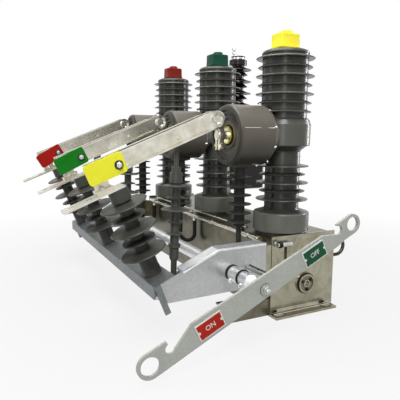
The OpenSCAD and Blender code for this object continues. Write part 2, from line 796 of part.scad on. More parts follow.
module label_plate(along, up, size, paint) {
    color(paint) translate([handle_x + handle_t, -shaft_y, shaft_z]) rotate([handle_tilt, 0, 0])
        translate([0, along - size[0] / 2, up - size[1] / 2]) cube([1.2, size[0], size[1]]);
}

module on_plate() {
    label_plate(-handle_low + 129, 5.5, [58, 34], "#c8452c");
}

module off_plate() {
    label_plate(handle_high - 114, 2, [59, 36], "#1f7a52");
}

// ---------------------------------------------------------------- supply transformer

module supply_bracket() {
    half = 58;
    t = 5;
    y0 = supply_y - 82;
    flange = 23;                             // height of the tray's front flange
    color("#b7b3a2") translate([supply_x - half, 0, 0]) {
        translate([0, y0, supply_base - t]) cube([2 * half, 152, t]);
        translate([0, y0, supply_base - flange]) cube([2 * half, t, flange]);
        translate([0, box_back, 60]) cube([2 * half, t, supply_base - 60 - t]);
    }
}

// drooping shed of the bushing
function drooped(core, tip, z) =
    [[core, z + 7], [tip - 1.4, z], [tip, z + 1.4], [tip - 1.2, z + 2.8], [core, z + 13]];

// square block with rounded upright edges
module supply_body(half, h) {
    edge_r = 14;
    inner = half - edge_r;
    for (x = [-inner, inner]) for (y = [-inner, inner])
        translate([x, y, 0]) cylinder(r = edge_r, h = h, $fn = 48);
    translate([-half, -inner, 0]) cube([2 * half, 2 * inner, h]);
    translate([-inner, -half, 0]) cube([2 * inner, 2 * half, h]);
}

module supply_transformer() {
    h = supply_h;
    core = 21;
    pitch = 41.5;                            // from one large shed to the next
    top = h + bushing_len;                   // underside of the bushing's head
    sheds = [for (i = [7 : -1 : 0]) for (tip = [35.5, 49])
        drooped(core, tip, top - (tip > 40 ? 18 : 35) - i * pitch)];
    color("#4a3330") translate([supply_x, supply_y, supply_base]) {
        supply_body(supply_r, h - 8);
        translate([0, 0, h - 8]) supply_body(supply_r - 7, 8);
        translate([0, 0, h - 2]) turned(concat(
            [[core + 9, 0], [core + 6, 8], [core, 12]],
            [for (p = flat(sheds)) [p[0], p[1] - h + 2]],
            [[core, top - h], [32, top - h + 2], [32, top - h + 19], [30, top - h + 21], [22, top - h + 21],
             [22, top - h + 29], [25, top - h + 29], [25, top - h + 33], [10, top - h + 33]]));
        // stud with two nuts for the wire
        translate([-7, -11.5, top + 28]) cylinder(r = 4, h = 34, $fn = 48);
        for (z = [42, 55]) translate([-7, -11.5, top + z]) cylinder(r = 8, h = 6, $fn = 6);
    }
}

// ---------------------------------------------------------------- assembly

mechanism_box();
end_plates();
front_feet();
side_brackets();
support_insulators();
interrupter_pole(x_yellow);  // interrupter_pole_yellow
interrupter_pole(x_green);  // interrupter_pole_green
interrupter_pole(x_red);  // interrupter_pole_red
phase_cap(x_yellow, "#ffe53b");  // phase_cap_yellow
phase_cap(x_green, "#1f7a52");  // phase_cap_green
phase_cap(x_red, "#8e2b25");  // phase_cap_red
top_terminals();
current_transformer(x_yellow);  // current_transformer_yellow
current_transformer(x_green);  // current_transformer_green
current_transformer(x_red);  // current_transformer_red
transformer_terminals();
riser_insulators();
hoses();
conduit();
side_plates();
front_beam();
shaft_bearings();
post_insulators();
line_terminals();
fixed_contacts();
blade(x_yellow);  // blade_yellow
blade(x_green);  // blade_green
blade(x_red);  // blade_red
phase_tag(x_yellow, "#fff23a", 0);  // phase_tag_yellow
phase_tag(x_green, "#1f9a35", 4);  // phase_tag_green
phase_tag(x_red, "#c62a22", 9);  // phase_tag_red
pull_rod(x_yellow);  // pull_rod_yellow
pull_rod(x_green);  // pull_rod_green
pull_rod(x_red);  // pull_rod_red
operating_shaft();
shaft_cranks();
operating_handle();
on_plate();
off_plate();
crank_socket();
interlock_lever();
lifting_eyes();
supply_bracket();
supply_transformer();
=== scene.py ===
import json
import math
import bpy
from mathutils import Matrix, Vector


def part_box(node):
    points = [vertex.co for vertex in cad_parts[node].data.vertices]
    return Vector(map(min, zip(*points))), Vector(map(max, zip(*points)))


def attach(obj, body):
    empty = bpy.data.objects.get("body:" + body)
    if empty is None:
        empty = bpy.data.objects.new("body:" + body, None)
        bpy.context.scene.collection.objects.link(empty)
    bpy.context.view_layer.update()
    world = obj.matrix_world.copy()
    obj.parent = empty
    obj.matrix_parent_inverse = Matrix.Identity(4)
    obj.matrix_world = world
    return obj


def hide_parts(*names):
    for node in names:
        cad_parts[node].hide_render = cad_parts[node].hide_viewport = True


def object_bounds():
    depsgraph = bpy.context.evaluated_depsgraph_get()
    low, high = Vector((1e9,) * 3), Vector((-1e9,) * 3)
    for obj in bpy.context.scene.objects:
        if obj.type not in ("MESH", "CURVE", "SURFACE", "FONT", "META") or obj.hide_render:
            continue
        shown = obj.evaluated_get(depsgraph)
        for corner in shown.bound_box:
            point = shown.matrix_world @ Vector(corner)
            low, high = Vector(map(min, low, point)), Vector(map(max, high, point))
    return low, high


bl_info = {
    "name": "Outdoor Vacuum Circuit Breaker",
    "version": (1, 0, 0),
    "blender": (4, 5, 0),
    "location": "View3D > Sidebar > Breaker",
    "description": "Dresses the breaker's construction with its finishes, fasteners and small fittings",
    "category": "Object",
}

import bmesh
import bpy
from bpy.props import FloatProperty, FloatVectorProperty, PointerProperty
from mathutils import Matrix, Vector

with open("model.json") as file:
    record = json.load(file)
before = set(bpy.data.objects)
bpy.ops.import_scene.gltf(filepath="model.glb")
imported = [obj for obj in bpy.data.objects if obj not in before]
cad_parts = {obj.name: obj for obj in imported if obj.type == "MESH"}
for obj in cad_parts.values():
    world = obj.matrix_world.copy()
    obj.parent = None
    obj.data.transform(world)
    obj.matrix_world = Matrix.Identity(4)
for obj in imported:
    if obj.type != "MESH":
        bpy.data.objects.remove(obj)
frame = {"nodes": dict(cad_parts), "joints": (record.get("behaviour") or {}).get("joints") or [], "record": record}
cad_low, cad_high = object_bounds()

MM = 0.001
PHASES = ("yellow", "green", "red")
STILL = "frame"                # the body that doesn't move
SHAFT = "operating_shaft"      # the body that the handle turns
UPRIGHT = Matrix(((0, 0, 1), (1, 0, 0), (0, 1, 0))).to_4x4()     # turns X, Y and Z to Y, Z and X

# places that the pieces are built from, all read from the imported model, in metres
mounts = {mount["name"]: mount for mount in frame["record"]["mounts"]}
joints = {joint["name"]: joint for joint in frame["joints"]}
shaft = Vector(joints["shaft_turn"]["pos_m"])
hinges = {colour: Vector(joints[f"blade_{colour}_swing"]["pos_m"]) for colour in PHASES}
ring_low, ring_high = (Vector(mounts[f"hook_ring_{end}"]["pos_m"]) for end in ("low", "high"))
plates_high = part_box("side_plates")[1]
beam_low, beam_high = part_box("front_beam")
bar_normal = Vector(mounts["line_terminal_green_1"]["axis"])
tilt = math.atan2(-bar_normal.y, bar_normal.z)
handle_tilt = math.atan2(ring_high.z - ring_low.z, ring_high.y - ring_low.y)


# ------------------------------------------------------------------ small helpers

def linear(colour):
    """Turn an sRGB hex colour into the linear RGBA that shaders take; a setting's is linear already."""
    if not isinstance(colour, str):
        return tuple(colour)
    channels = [int(colour[i:i + 2], 16) / 255 for i in (1, 3, 5)]
    return tuple(c / 12.92 if c <= 0.04045 else ((c + 0.055) / 1.055) ** 2.4 for c in channels) + (1.0,)


def add(tree, kind, sockets=None, **settings):
    """Add a node, apply its settings, and fill its sockets with values or links."""
    node = tree.nodes.new(kind)
    for name, value in settings.items():
        setattr(node, name, value)
    for key, value in (sockets or {}).items():
        if isinstance(value, bpy.types.NodeSocket):
            tree.links.new(value, node.inputs[key])
        else:
            node.inputs[key].default_value = value
    return node


def finish_of(name, **constants):
    """Start a material: its tree, its shader with plain values set, and object coordinates."""
    material = bpy.data.materials.new(name)
    material.use_nodes = True
    tree = material.node_tree
    tree.nodes.clear()
    shader = add(tree, "ShaderNodeBsdfPrincipled", constants)
    add(tree, "ShaderNodeOutputMaterial", {"Surface": shader.outputs["BSDF"]})
    place = add(tree, "ShaderNodeTexCoord").outputs["Object"]
    return material, tree, shader, place


def dress(tree, shader, factor, colours, rough, height, bump, gloss=None, between=(0.3, 0.7)):
    """Drive a shader by patterns: two colours and two roughnesses by a factor, and a bump by a height.

    colours and rough are pairs for the factor's low and high end, bump is (strength, depth in mm).
    gloss, where it is given, drives the roughness instead; between is the part of the factor in use."""
    spread = {"From Min": between[0], "From Max": between[1]}
    share = add(tree, "ShaderNodeMapRange", {"Value": factor, **spread})
    blend = add(tree, "ShaderNodeMix", {"Factor": share.outputs["Result"], "A": linear(colours[0]),
                                        "B": linear(colours[1])}, data_type="RGBA")
    dull = add(tree, "ShaderNodeMapRange", {"Value": gloss or factor, "To Min": rough[0], "To Max": rough[1],
                                            **({} if gloss else spread)})
    relief = add(tree, "ShaderNodeBump", {"Height": height, "Strength": bump[0], "Distance": bump[1] * MM})
    for socket, source in (("Base Color", blend.outputs[2]), ("Roughness", dull.outputs["Result"]),
                           ("Normal", relief.outputs["Normal"])):
        tree.links.new(source, shader.inputs[socket])


def at(x, y, z):
    """A place given in millimetres in the model's frame."""
    return Vector((x, y, z)) * MM


def facing(place, along, across=None):
    """Matrix whose local Z points along a direction and whose local X is near another."""
    z = Vector(along).normalized()
    if across is None:
        across = (0.0, 1.0, 0.0) if abs(z.x) > 0.9 else (1.0, 0.0, 0.0)
    y = z.cross(Vector(across)).normalized()
    turn = Matrix((y.cross(z), y, z)).transposed().to_4x4()
    return Matrix.Translation(place) @ turn


def blade_frame(colour):
    """Frame of a closed blade: origin on its hinge, -Y along the blade, X across it."""
    return Matrix.Translation(hinges[colour]) @ Matrix.Rotation(tilt, 4, "X")


def handle_frame(along, up):
    """Frame on the handle's outer face: local X along the handle, Y across it, Z outwards."""
    turn = Matrix.Rotation(handle_tilt, 4, "X") @ UPRIGHT
    face = ring_low.x + mounts["hook_ring_low"]["dims"]["length_mm"] / 2 * MM
    place = Vector((face, shaft.y, shaft.z)) + turn @ at(along, up, 0)
    return Matrix.Translation(place) @ turn


def rounded(width, height, corner, steps=5):
    """Outline of a rectangle with round corners, centred on the origin."""
    points = []
    for quarter, (sx, sy) in enumerate(((1, 1), (-1, 1), (-1, -1), (1, -1))):
        for k in range(steps + 1):
            angle = math.radians(90 * (quarter + k / steps))
            points.append((sx * (width / 2 - corner) + corner * math.cos(angle),
                           sy * (height / 2 - corner) + corner * math.sin(angle)))
    return points


def skin(bm, rings, closed=False):
    """Join rings of points with faces; a ring of one point makes a pole."""
    made = [[bm.verts.new(point) for point in ring] for ring in rings]
    steps = max(len(ring) for ring in made)
    pairs = list(zip(made, made[1:])) + ([(made[-1], made[0])] if closed else [])
    for low, high in pairs:
        for k in range(steps):
            corners = (low[k % len(low)], low[(k + 1) % len(low)],
                       high[(k + 1) % len(high)], high[k % len(high)])
            corners = list(dict.fromkeys(corners))
            if len(corners) > 2:
                bm.faces.new(corners)
    if not closed:
        for ring in (made[0], made[-1]):
            if len(ring) > 2:
                bm.faces.new(ring)


def lathe(bm, outline, place, closed=False, steps=40):
    """Turn an outline of (radius, height), in millimetres, about the local Z of a frame."""
    rings = []
    for radius, height in outline:
        angles = [math.tau * k / steps for k in range(steps)] if radius > 0 else [0.0]
        rings.append([place @ at(radius * math.cos(a), radius * math.sin(a), height) for a in angles])
    skin(bm, rings, closed)


def flat_ring(bm, inner, outer, start, end, place):
    """A flat ring between two radii and two heights, in millimetres, about the local Z of a frame."""
    lathe(bm, [(inner, start), (outer, start), (outer, end), (inner, end)], place, closed=True)


def slab(bm, outline, thickness, place, base=0.0):
    """Raise a flat outline in millimetres along the local Z of a frame, its edges slightly broken."""
    ease = min(0.4, thickness / 4)
    mid = Vector((sum(x for x, _ in outline), sum(y for _, y in outline))) / len(outline)
    reach = max((Vector(point) - mid).length for point in outline)
    inner = [mid + (Vector(point) - mid) * (1 - ease / reach) for point in outline]
    rings = [(inner, base), (outline, base + ease), (outline, base + thickness - ease),
             (inner, base + thickness)]
    skin(bm, [[place @ at(x, y, height) for x, y in ring] for ring, height in rings])


def sweep(bm, path, radius, steps=12):
    """Run a round section of a radius in millimetres along a list of places."""
    rings = []
    side = Vector((1.0, 0.0, 0.0))
    for k, place in enumerate(path):
        along = (path[min(k + 1, len(path) - 1)] - path[max(k - 1, 0)]).normalized()
        side = (side - along * side.dot(along))
        side = side.normalized() if side.length > 0.1 else along.orthogonal().normalized()
        up = along.cross(side)
        rings.append([place + (side * math.cos(a) + up * math.sin(a)) * radius * MM
                      for a in (math.tau * n / steps for n in range(steps))])
    skin(bm, rings)


def put(name, data):
    """Put a new object with its data in the scene."""
    thing = bpy.data.objects.new(name, data)
    bpy.context.scene.collection.objects.link(thing)
    return thing


def keep(name, bm, body, finish, sharp=35.0):
    """Turn a bmesh into a finished piece that rides on a body and has one finish."""
    bmesh.ops.remove_doubles(bm, verts=bm.verts, dist=0.01 * MM)
    bmesh.ops.recalc_face_normals(bm, faces=bm.faces)
    for face in bm.faces:
        face.smooth = True
    for edge in bm.edges:
        if len(edge.link_faces) == 2 and edge.calc_face_angle() > math.radians(sharp):
            edge.smooth = False
    mesh = bpy.data.meshes.new(name)
    bm.to_mesh(mesh)
    bm.free()
    mesh.materials.append(finishes[finish])
    piece = put(name, mesh)
    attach(piece, body)
    return piece


# ------------------------------------------------------------------ Geometry Nodes

def new_tree(name, inputs):
    """Start a Geometry Nodes tree with named inputs, given as (name, socket kind, default)."""
    tree = bpy.data.node_groups.new(name, "GeometryNodeTree")
    tree.interface.new_socket("Geometry", in_out="INPUT", socket_type="NodeSocketGeometry")
    for label, kind, default in inputs + [("Finish", "NodeSocketMaterial", None)]:
        socket = tree.interface.new_socket(label, in_out="INPUT", socket_type=kind)
        if default is not None:
            socket.default_value = default
    tree.interface.new_socket("Geometry", in_out="OUTPUT", socket_type="NodeSocketGeometry")
    return tree, add(tree, "NodeGroupInput").outputs


def close_tree(tree, geometry, given):
    """End a tree in Realize Instances and Set Material."""
    real = add(tree, "GeometryNodeRealizeInstances", {"Geometry": geometry})
    dressed = add(tree, "GeometryNodeSetMaterial", {"Geometry": real.outputs[0],
                                                    "Material": given["Finish"]})
    add(tree, "NodeGroupOutput", {"Geometry": dressed.outputs[0]})
    return tree


def hex_fastener_tree():
    """A washer, a chamfered hexagon and a stud's end on each point, along the point's direction."""
    tree, given = new_tree("Hexagon fasteners", [
        ("Corner radius", "NodeSocketFloat", 10 * MM), ("Head height", "NodeSocketFloat", 7 * MM),
        ("Washer radius", "NodeSocketFloat", 12 * MM), ("Washer thickness", "NodeSocketFloat", 2 * MM),
        ("Stud radius", "NodeSocketFloat", 5 * MM), ("Stud length", "NodeSocketFloat", 4 * MM)])
    washer = add(tree, "GeometryNodeMeshCylinder", {
        "Vertices": 28, "Radius": given["Washer radius"], "Depth": given["Washer thickness"]})
    head = add(tree, "GeometryNodeMeshCylinder", {
        "Vertices": 6, "Side Segments": 6, "Radius": given["Corner radius"], "Depth": given["Head height"]})
    head = add(tree, "GeometryNodeScaleElements", {
        "Geometry": head.outputs["Mesh"], "Selection": head.outputs["Top"], "Scale": 0.86})
    stud = add(tree, "GeometryNodeMeshCylinder", {
        "Vertices": 16, "Side Segments": 4, "Radius": given["Stud radius"], "Depth": given["Stud length"]})
    stud = add(tree, "GeometryNodeScaleElements", {
        "Geometry": stud.outputs["Mesh"], "Selection": stud.outputs["Top"], "Scale": 0.8})
    seat = given["Washer thickness"]
    seat_mid = add(tree, "ShaderNodeMath", {0: seat, 1: 0.5}, operation="MULTIPLY")
    head_mid = add(tree, "ShaderNodeMath", {0: given["Head height"], 1: 0.5, 2: seat},
                   operation="MULTIPLY_ADD")
    top = add(tree, "ShaderNodeMath", {0: given["Head height"], 1: seat})
    stud_mid = add(tree, "ShaderNodeMath", {0: given["Stud length"], 1: 0.45, 2: top.outputs[0]},
                   operation="MULTIPLY_ADD")
    whole = add(tree, "GeometryNodeJoinGeometry")
    for part, height in ((washer.outputs["Mesh"], seat_mid), (head.outputs[0], head_mid),
                         (stud.outputs[0], stud_mid)):
        lift = add(tree, "ShaderNodeCombineXYZ", {"Z": height.outputs[0]})
        raised = add(tree, "GeometryNodeTransform", {"Geometry": part, "Translation": lift.outputs[0]})
        tree.links.new(raised.outputs[0], whole.inputs[0])
    along = add(tree, "GeometryNodeInputNamedAttribute", {"Name": "direction"}, data_type="FLOAT_VECTOR")
    turn = add(tree, "FunctionNodeAlignRotationToVector", {"Vector": along.outputs[0]}, axis="Z")
    spots = add(tree, "GeometryNodeInstanceOnPoints", {
        "Points": given["Geometry"], "Instance": whole.outputs[0], "Rotation": turn.outputs[0]})
    return close_tree(tree, spots.outputs[0], given)


def rib_tree():
    """Rounded rings at an even spacing along each edge chain: ribs of a hose, or a rod's thread."""
    tree, given = new_tree("Ribs along a path", [
        ("Spacing", "NodeSocketFloat", 4 * MM), ("Ring radius", "NodeSocketFloat", 6 * MM),
        ("Ring thickness", "NodeSocketFloat", 1 * MM)])
    path = add(tree, "GeometryNodeMeshToCurve", {"Mesh": given["Geometry"]})
    spots = add(tree, "GeometryNodeCurveToPoints", {"Curve": path.outputs[0], "Length": given["Spacing"]},
                mode="LENGTH")
    loop = add(tree, "GeometryNodeCurvePrimitiveCircle", {"Resolution": 20, "Radius": given["Ring radius"]})
    wire = add(tree, "GeometryNodeCurvePrimitiveCircle", {"Resolution": 6, "Radius": given["Ring thickness"]})
    ring = add(tree, "GeometryNodeCurveToMesh", {"Curve": loop.outputs["Curve"],
                                                 "Profile Curve": wire.outputs["Curve"]})
    along = add(tree, "FunctionNodeAlignRotationToVector", {"Vector": spots.outputs["Tangent"]}, axis="Z")
    rings = add(tree, "GeometryNodeInstanceOnPoints", {
        "Points": spots.outputs["Points"], "Instance": ring.outputs[0], "Rotation": along.outputs[0]})
    return close_tree(tree, rings.outputs[0], given)


trees = {}


def grow(name, tree, mesh, inputs, body, finish):
    """Run a tree on a mesh and keep the result as a plain piece on a body."""
    mesh.materials.append(finishes[finish])
    piece = put(name, mesh)
    modifier = piece.modifiers.new(tree.name, "NODES")
    modifier.node_group = tree
    values = {"Finish": finishes[finish], **inputs}
    for socket in tree.interface.items_tree:
        if socket.in_out == "INPUT" and socket.name in values:
            modifier[socket.identifier] = values[socket.name]
    plain = bpy.data.meshes.new_from_object(piece.evaluated_get(bpy.context.evaluated_depsgraph_get()))
    piece.modifiers.remove(modifier)
    piece.data = plain
    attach(piece, body)
    return piece


def bolts(name, spots, body, head=10.0, height=7.0, washer=12.0, stud=4.0, finish="zinc"):
    """Hexagon bolts at (place, direction) spots, with sizes in millimetres."""
    mesh = bpy.data.meshes.new(name)
    mesh.from_pydata([place for place, _ in spots], [], [])
    along = mesh.attributes.new("direction", "FLOAT_VECTOR", "POINT")
    for k, (_, direction) in enumerate(spots):
        along.data[k].vector = direction
    sizes = {"Corner radius": head * MM, "Head height": height * MM, "Washer radius": washer * MM,
             "Stud length": stud * MM, "Stud radius": head * 0.52 * MM}
    return grow(name, trees["hexagon"], mesh, sizes, body, finish)


def ribs(name, paths, finish, spacing, radius, thickness):
    """Rings along paths of places on the frame, with sizes in millimetres."""
    mesh = bpy.data.meshes.new(name)
    points, edges = [], []
    for path in paths:
        edges += [(len(points) + k, len(points) + k + 1) for k in range(len(path) - 1)]
        points += path
    mesh.from_pydata(points, edges, [])
    sizes = {"Spacing": spacing * MM, "Ring radius": radius * MM, "Ring thickness": thickness * MM}
    return grow(name, trees["ribs"], mesh, sizes, STILL, finish)


# ------------------------------------------------------------------ finishes

def mottled(name, colours, rough, mottle, relief, bump, **constants):
    """A finish whose colour and gloss follow one noise and whose relief follows another.

    colours, rough and bump are as for dress; mottle and relief are (size in mm, detail)."""
    material, tree, shader, place = finish_of(name, **constants)
    patterns = [add(tree, "ShaderNodeTexNoise", {"Vector": place, "Scale": 1 / (size * MM), "Detail": detail})
                for size, detail in (mottle, relief)]
    dress(tree, shader, patterns[0].outputs["Fac"], colours, rough, patterns[1].outputs["Fac"], bump)
    return material


def cast_epoxy(name, body, shade, gloss):
    """Vacuum-cast cycloaliphatic epoxy: satin, slightly cloudy, with a faint orange peel from the mould."""
    return mottled(name, (shade, body), (gloss + 0.06, gloss - 0.05), (45.4545, 4.0), (1.42857, 2.0),
                   (0.12, 0.3), **{"Specular IOR Level": 0.26})


def blend_painted_light(tree, shader, place, painted_light_share, mottle, colours, gloss):
    """Blend cast epoxy's two colours by a mask of painted light and shade, clouded a little, over an orange peel.
    """
    cloud, peel = (add(tree, "ShaderNodeTexNoise", {"Vector": place, "Scale": 1 / (size * MM),
                                                    "Detail": detail}).outputs["Fac"]
                   for size, detail in ((45.4545, 4.0), (1.42857, 2.0)))
    share = add(tree, "ShaderNodeMath", {0: cloud, 1: mottle, 2: painted_light_share}, operation="MULTIPLY_ADD")
    dress(tree, shader, share.outputs[0], colours, (gloss, gloss), peel, (0.12, 0.3), between=(0.1, 1.2))


def shade_painted_epoxy(name, body, under, gloss):
    """Cast epoxy that lies level, with painted shade: its upper side is painted paler, and its underside and front
    are painted darker as if in shade.
    """
    material, tree, shader, place = finish_of(name, **{"Specular IOR Level": 0.26})
    axes = add(tree, "ShaderNodeSeparateXYZ", {"Vector": place}).outputs
    low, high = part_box("current_transformer_green")
    middle = (low.z + high.z) / 2
    # painted shade: lighter with height and darker at the front face, standing in for how the light falls
    risen = add(tree, "ShaderNodeMapRange", {"Value": axes["Z"], "From Min": low.z - 10 * MM,
                                             "From Max": middle - 4 * MM})
    back = add(tree, "ShaderNodeMapRange", {"Value": axes["Y"], "From Min": low.y + 2 * MM,
                                            "From Max": low.y + 9 * MM, "To Min": 0.25})
    lit_side_share = add(tree, "ShaderNodeMath", {0: risen.outputs["Result"], 1: back.outputs["Result"]},
               operation="MULTIPLY")
    blend_painted_light(tree, shader, place, lit_side_share.outputs[0], 0.25, (under, body), gloss)
    return material


def shedded_epoxy(name, core, rim, gloss):
    """Cast epoxy with sheds, with painted light and shade: their thin rims are painted paler as if lit, and the
    core between them darker as if shaded.
    """
    material, tree, shader, place = finish_of(name, **{"Specular IOR Level": 0.3})
    axes = add(tree, "ShaderNodeSeparateXYZ", {"Vector": place}).outputs
    pitch = hinges["yellow"].x - hinges["green"].x
    across = add(tree, "ShaderNodeMath", {0: axes["X"], 1: pitch / 2, 2: -pitch / 2}, operation="WRAP")
    flat = add(tree, "ShaderNodeCombineXYZ", {"X": across.outputs[0], "Y": axes["Y"]})
    reach = add(tree, "ShaderNodeVectorMath", {0: flat.outputs[0]}, operation="LENGTH").outputs["Value"]
    # painted light and shade: paler towards the sheds' rims, darker at the core between them
    painted_light_share = add(tree, "ShaderNodeMapRange", {"Value": reach, "From Min": 62.5 * MM, "From Max": 71.5 * MM})
    blend_painted_light(tree, shader, place, painted_light_share.outputs["Result"], 0.3, (core, rim), gloss)
    return material


def silicone_rubber(name, body, shade):
    """Moulded rubber: matt and a little dusty, so its dark grey lifts in soft patches."""
    return mottled(name, (body, shade), (0.48, 0.62), (16.6667, 5.0), (16.6667, 5.0),
                   (0.1, 0.2), **{"Specular IOR Level": 0.18})


def galvanised_steel(name, bright, dull, spangle_mm, rough):
    """Hot-dip galvanised steel: zinc crystals a few millimetres wide, each with its own grey and gloss."""
    material, tree, shader, place = finish_of(name, Metallic=0.62)
    flakes = add(tree, "ShaderNodeTexVoronoi", {"Vector": place, "Scale": 1 / (spangle_mm * MM),
                                                "Randomness": 1.0})
    flake = add(tree, "ShaderNodeSeparateColor", {"Color": flakes.outputs["Color"]}).outputs
    stain_mm = 71.4286
    stain = add(tree, "ShaderNodeTexNoise", {"Vector": place, "Scale": 1 / (stain_mm * MM),
                                             "Detail": 6.0}).outputs["Fac"]
    both = add(tree, "ShaderNodeMath", {0: flake["Red"], 1: 0.45, 2: stain}, operation="MULTIPLY_ADD")
    dress(tree, shader, both.outputs[0], (dull, bright), (rough - 0.06, rough + 0.08), stain, (0.15, 0.5),
          gloss=flake["Green"], between=(0.4, 1.05))
    return material


def stainless_sheet(name, bright, dull, rough):
    """Cold-rolled stainless sheet: a fine rolling grain and a slow waviness in its soft reflections."""
    material, tree, shader, place = finish_of(name, Metallic=1.0)
    along = add(tree, "ShaderNodeMapping", {"Vector": place, "Scale": (1.0, 0.04, 1.0)}).outputs["Vector"]
    # the real grain is some hundredths of a millimetre wide and is drawn at about one, so that it shows
    grain_mm, wave_mm, smear_mm = 1.11111, 111.111, 38.4615
    grain = add(tree, "ShaderNodeTexNoise", {"Vector": along, "Scale": 1 / (grain_mm * MM),
                                             "Detail": 3.0}).outputs["Fac"]
    wave = add(tree, "ShaderNodeTexNoise", {"Vector": place, "Scale": 1 / (wave_mm * MM),
                                            "Detail": 2.0}).outputs["Fac"]
    smear = add(tree, "ShaderNodeTexNoise", {"Vector": place, "Scale": 1 / (smear_mm * MM), "Detail": 6.0,
                                             "Roughness": 0.65, "Distortion": 0.8}).outputs["Fac"]
    height = add(tree, "ShaderNodeMath", {0: grain, 1: 0.03, 2: wave}, operation="MULTIPLY_ADD")
    dress(tree, shader, smear, (dull, bright), (rough - 0.04, rough + 0.06), height.outputs[0], (0.25, 1.5),
          gloss=grain)
    return material


def plated_metal(name, bright, dull, rough, tarnish_mm=25.0):
    """Electroplated or cast metal: even colour with light tarnish and fine handling marks."""
    return mottled(name, (dull, bright), (rough + 0.07, rough - 0.05), (tarnish_mm, 5.0),
                   (1.11111, 2.0), (0.1, 0.1), Metallic=1.0)


def soft_vinyl(name, body, shade):
    """Dip-moulded vinyl boot: saturated colour, a broad soft highlight and slight mottling."""
    return mottled(name, (shade, body), (0.5, 0.4), (18.1818, 3.0), (18.1818, 3.0),
                   (0.15, 0.4), **{"Specular IOR Level": 0.16})


def baked_enamel(name, body, shade, rough):
    """Stoved enamel on sheet metal: flat, even paint with a very fine orange peel."""
    return mottled(name, (shade, body), (rough + 0.05, rough - 0.04), (33.3333, 3.0), (2.0, 2.0),
                   (0.08, 0.15), **{"Specular IOR Level": 0.2})


def glazed_porcelain(name, body, shade):
    """Brown-glazed porcelain: dark glassy glaze that pools, over a slightly uneven body."""
    return mottled(name, (shade, body), (0.12, 0.22), (28.5714, 2.0), (28.5714, 2.0),
                   (0.2, 0.5), **{"Specular IOR Level": 0.3})


finishes = {}


def make_finishes(colours):
    """Make every finish once, the most noticeable ones in the colours of the settings."""
    finishes.update({
        # the poles' epoxy is painted paler at the sheds' rims and darker at the core: painted light and shade
        "pole epoxy": shedded_epoxy("Cast epoxy, pole grey", colours.pole, "#6f7068", 0.27),
        # the transformers' epoxy is painted paler above and darker below and at the front: painted light and shade
        "transformer epoxy": shade_painted_epoxy("Cast epoxy, warm grey", colours.transformer, "#26251d", 0.34),
        "post epoxy": cast_epoxy("Cast epoxy, post grey", "#4b4c45", "#3b3c36", 0.34),
        "rod epoxy": cast_epoxy("Cast epoxy, rod grey", "#50514b", "#42433d", 0.36),
        "riser rubber": silicone_rubber("Silicone rubber, dark grey", "#2b2c28", "#393a35"),
        "black rubber": silicone_rubber("Nitrile rubber, black", "#171715", "#232320"),
        "brown glaze": glazed_porcelain("Brown-glazed porcelain", "#1d0f10", "#120a0a"),
        "stainless": stainless_sheet("Cold-rolled stainless sheet", "#aaa694", "#86826f", 0.24),
        "pipe stainless": stainless_sheet("Drawn stainless tube", "#dddad0", "#bdb9ab", 0.16),
        # painted shade: a darker copy of the stainless sheet for the box, its feet and the socket's groove, which
        # stand in shade
        "shaded stainless": stainless_sheet("Stainless sheet, painted shade", "#7f7b6a", "#605d50", 0.30),
        "galvanised": galvanised_steel("Hot-dip galvanised steel", colours.galvanised, "#b0b2b2", 5.0, 0.42),
        # painted highlight: a brighter copy of the galvanised steel for the side plates' lip
        "galvanised highlight": galvanised_steel("Galvanised steel, painted highlight", "#f4f5f7", "#e2e4e6",
                                           5.0, 0.36),
        "galvanised beam": galvanised_steel("Hot-dip galvanised steel, dulled", "#888d8f", "#74797b",
                                            5.0, 0.42),
        "galvanised tube": plated_metal("Zinc-plated tube", "#f2f3f5", "#d9dcdf", 0.36, 14.2857),
        "handle zinc": galvanised_steel("Sprayed zinc, matt", "#b2b4ae", "#a5a7a1", 3.0, 0.55),
        "tinned": plated_metal("Tin-plated copper", "#e2e0d4", "#c2beae", 0.26),
        "bare contact": plated_metal("Bare copper alloy, dulled", "#dcd6c4", "#bab29c", 0.3),
        "zinc": plated_metal("Bright zinc plate", "#dcddda", "#b3b5b3", 0.2),
        "brass": plated_metal("Machined brass", "#c4b94a", "#8f8430", 0.26),
        "dark steel": plated_metal("Blackened steel", "#4a4a47", "#343432", 0.40),
        "yellow vinyl": soft_vinyl("Dipped vinyl, yellow", colours.yellow_cap, "#ffe93c"),
        "green vinyl": soft_vinyl("Dipped vinyl, green", colours.green_cap, "#03392a"),
        "red vinyl": soft_vinyl("Dipped vinyl, red", colours.red_cap, "#691205"),
        "yellow enamel": baked_enamel("Stoved enamel, yellow", colours.yellow_tag, "#fff93a", 0.4),
        "green enamel": baked_enamel("Stoved enamel, green", colours.green_tag, "#0b7314", 0.4),
        "red enamel": baked_enamel("Stoved enamel, red", colours.red_tag, "#9e120b", 0.4),
        "on enamel": baked_enamel("Printed enamel, red", colours.on_plate, "#ad1f0b", 0.35),
        "off enamel": baked_enamel("Printed enamel, green", colours.off_plate, "#064e30", 0.35),
        "white enamel": baked_enamel("Printed enamel, white", "#f1f1ec", "#e8e8e2", 0.35),
    })


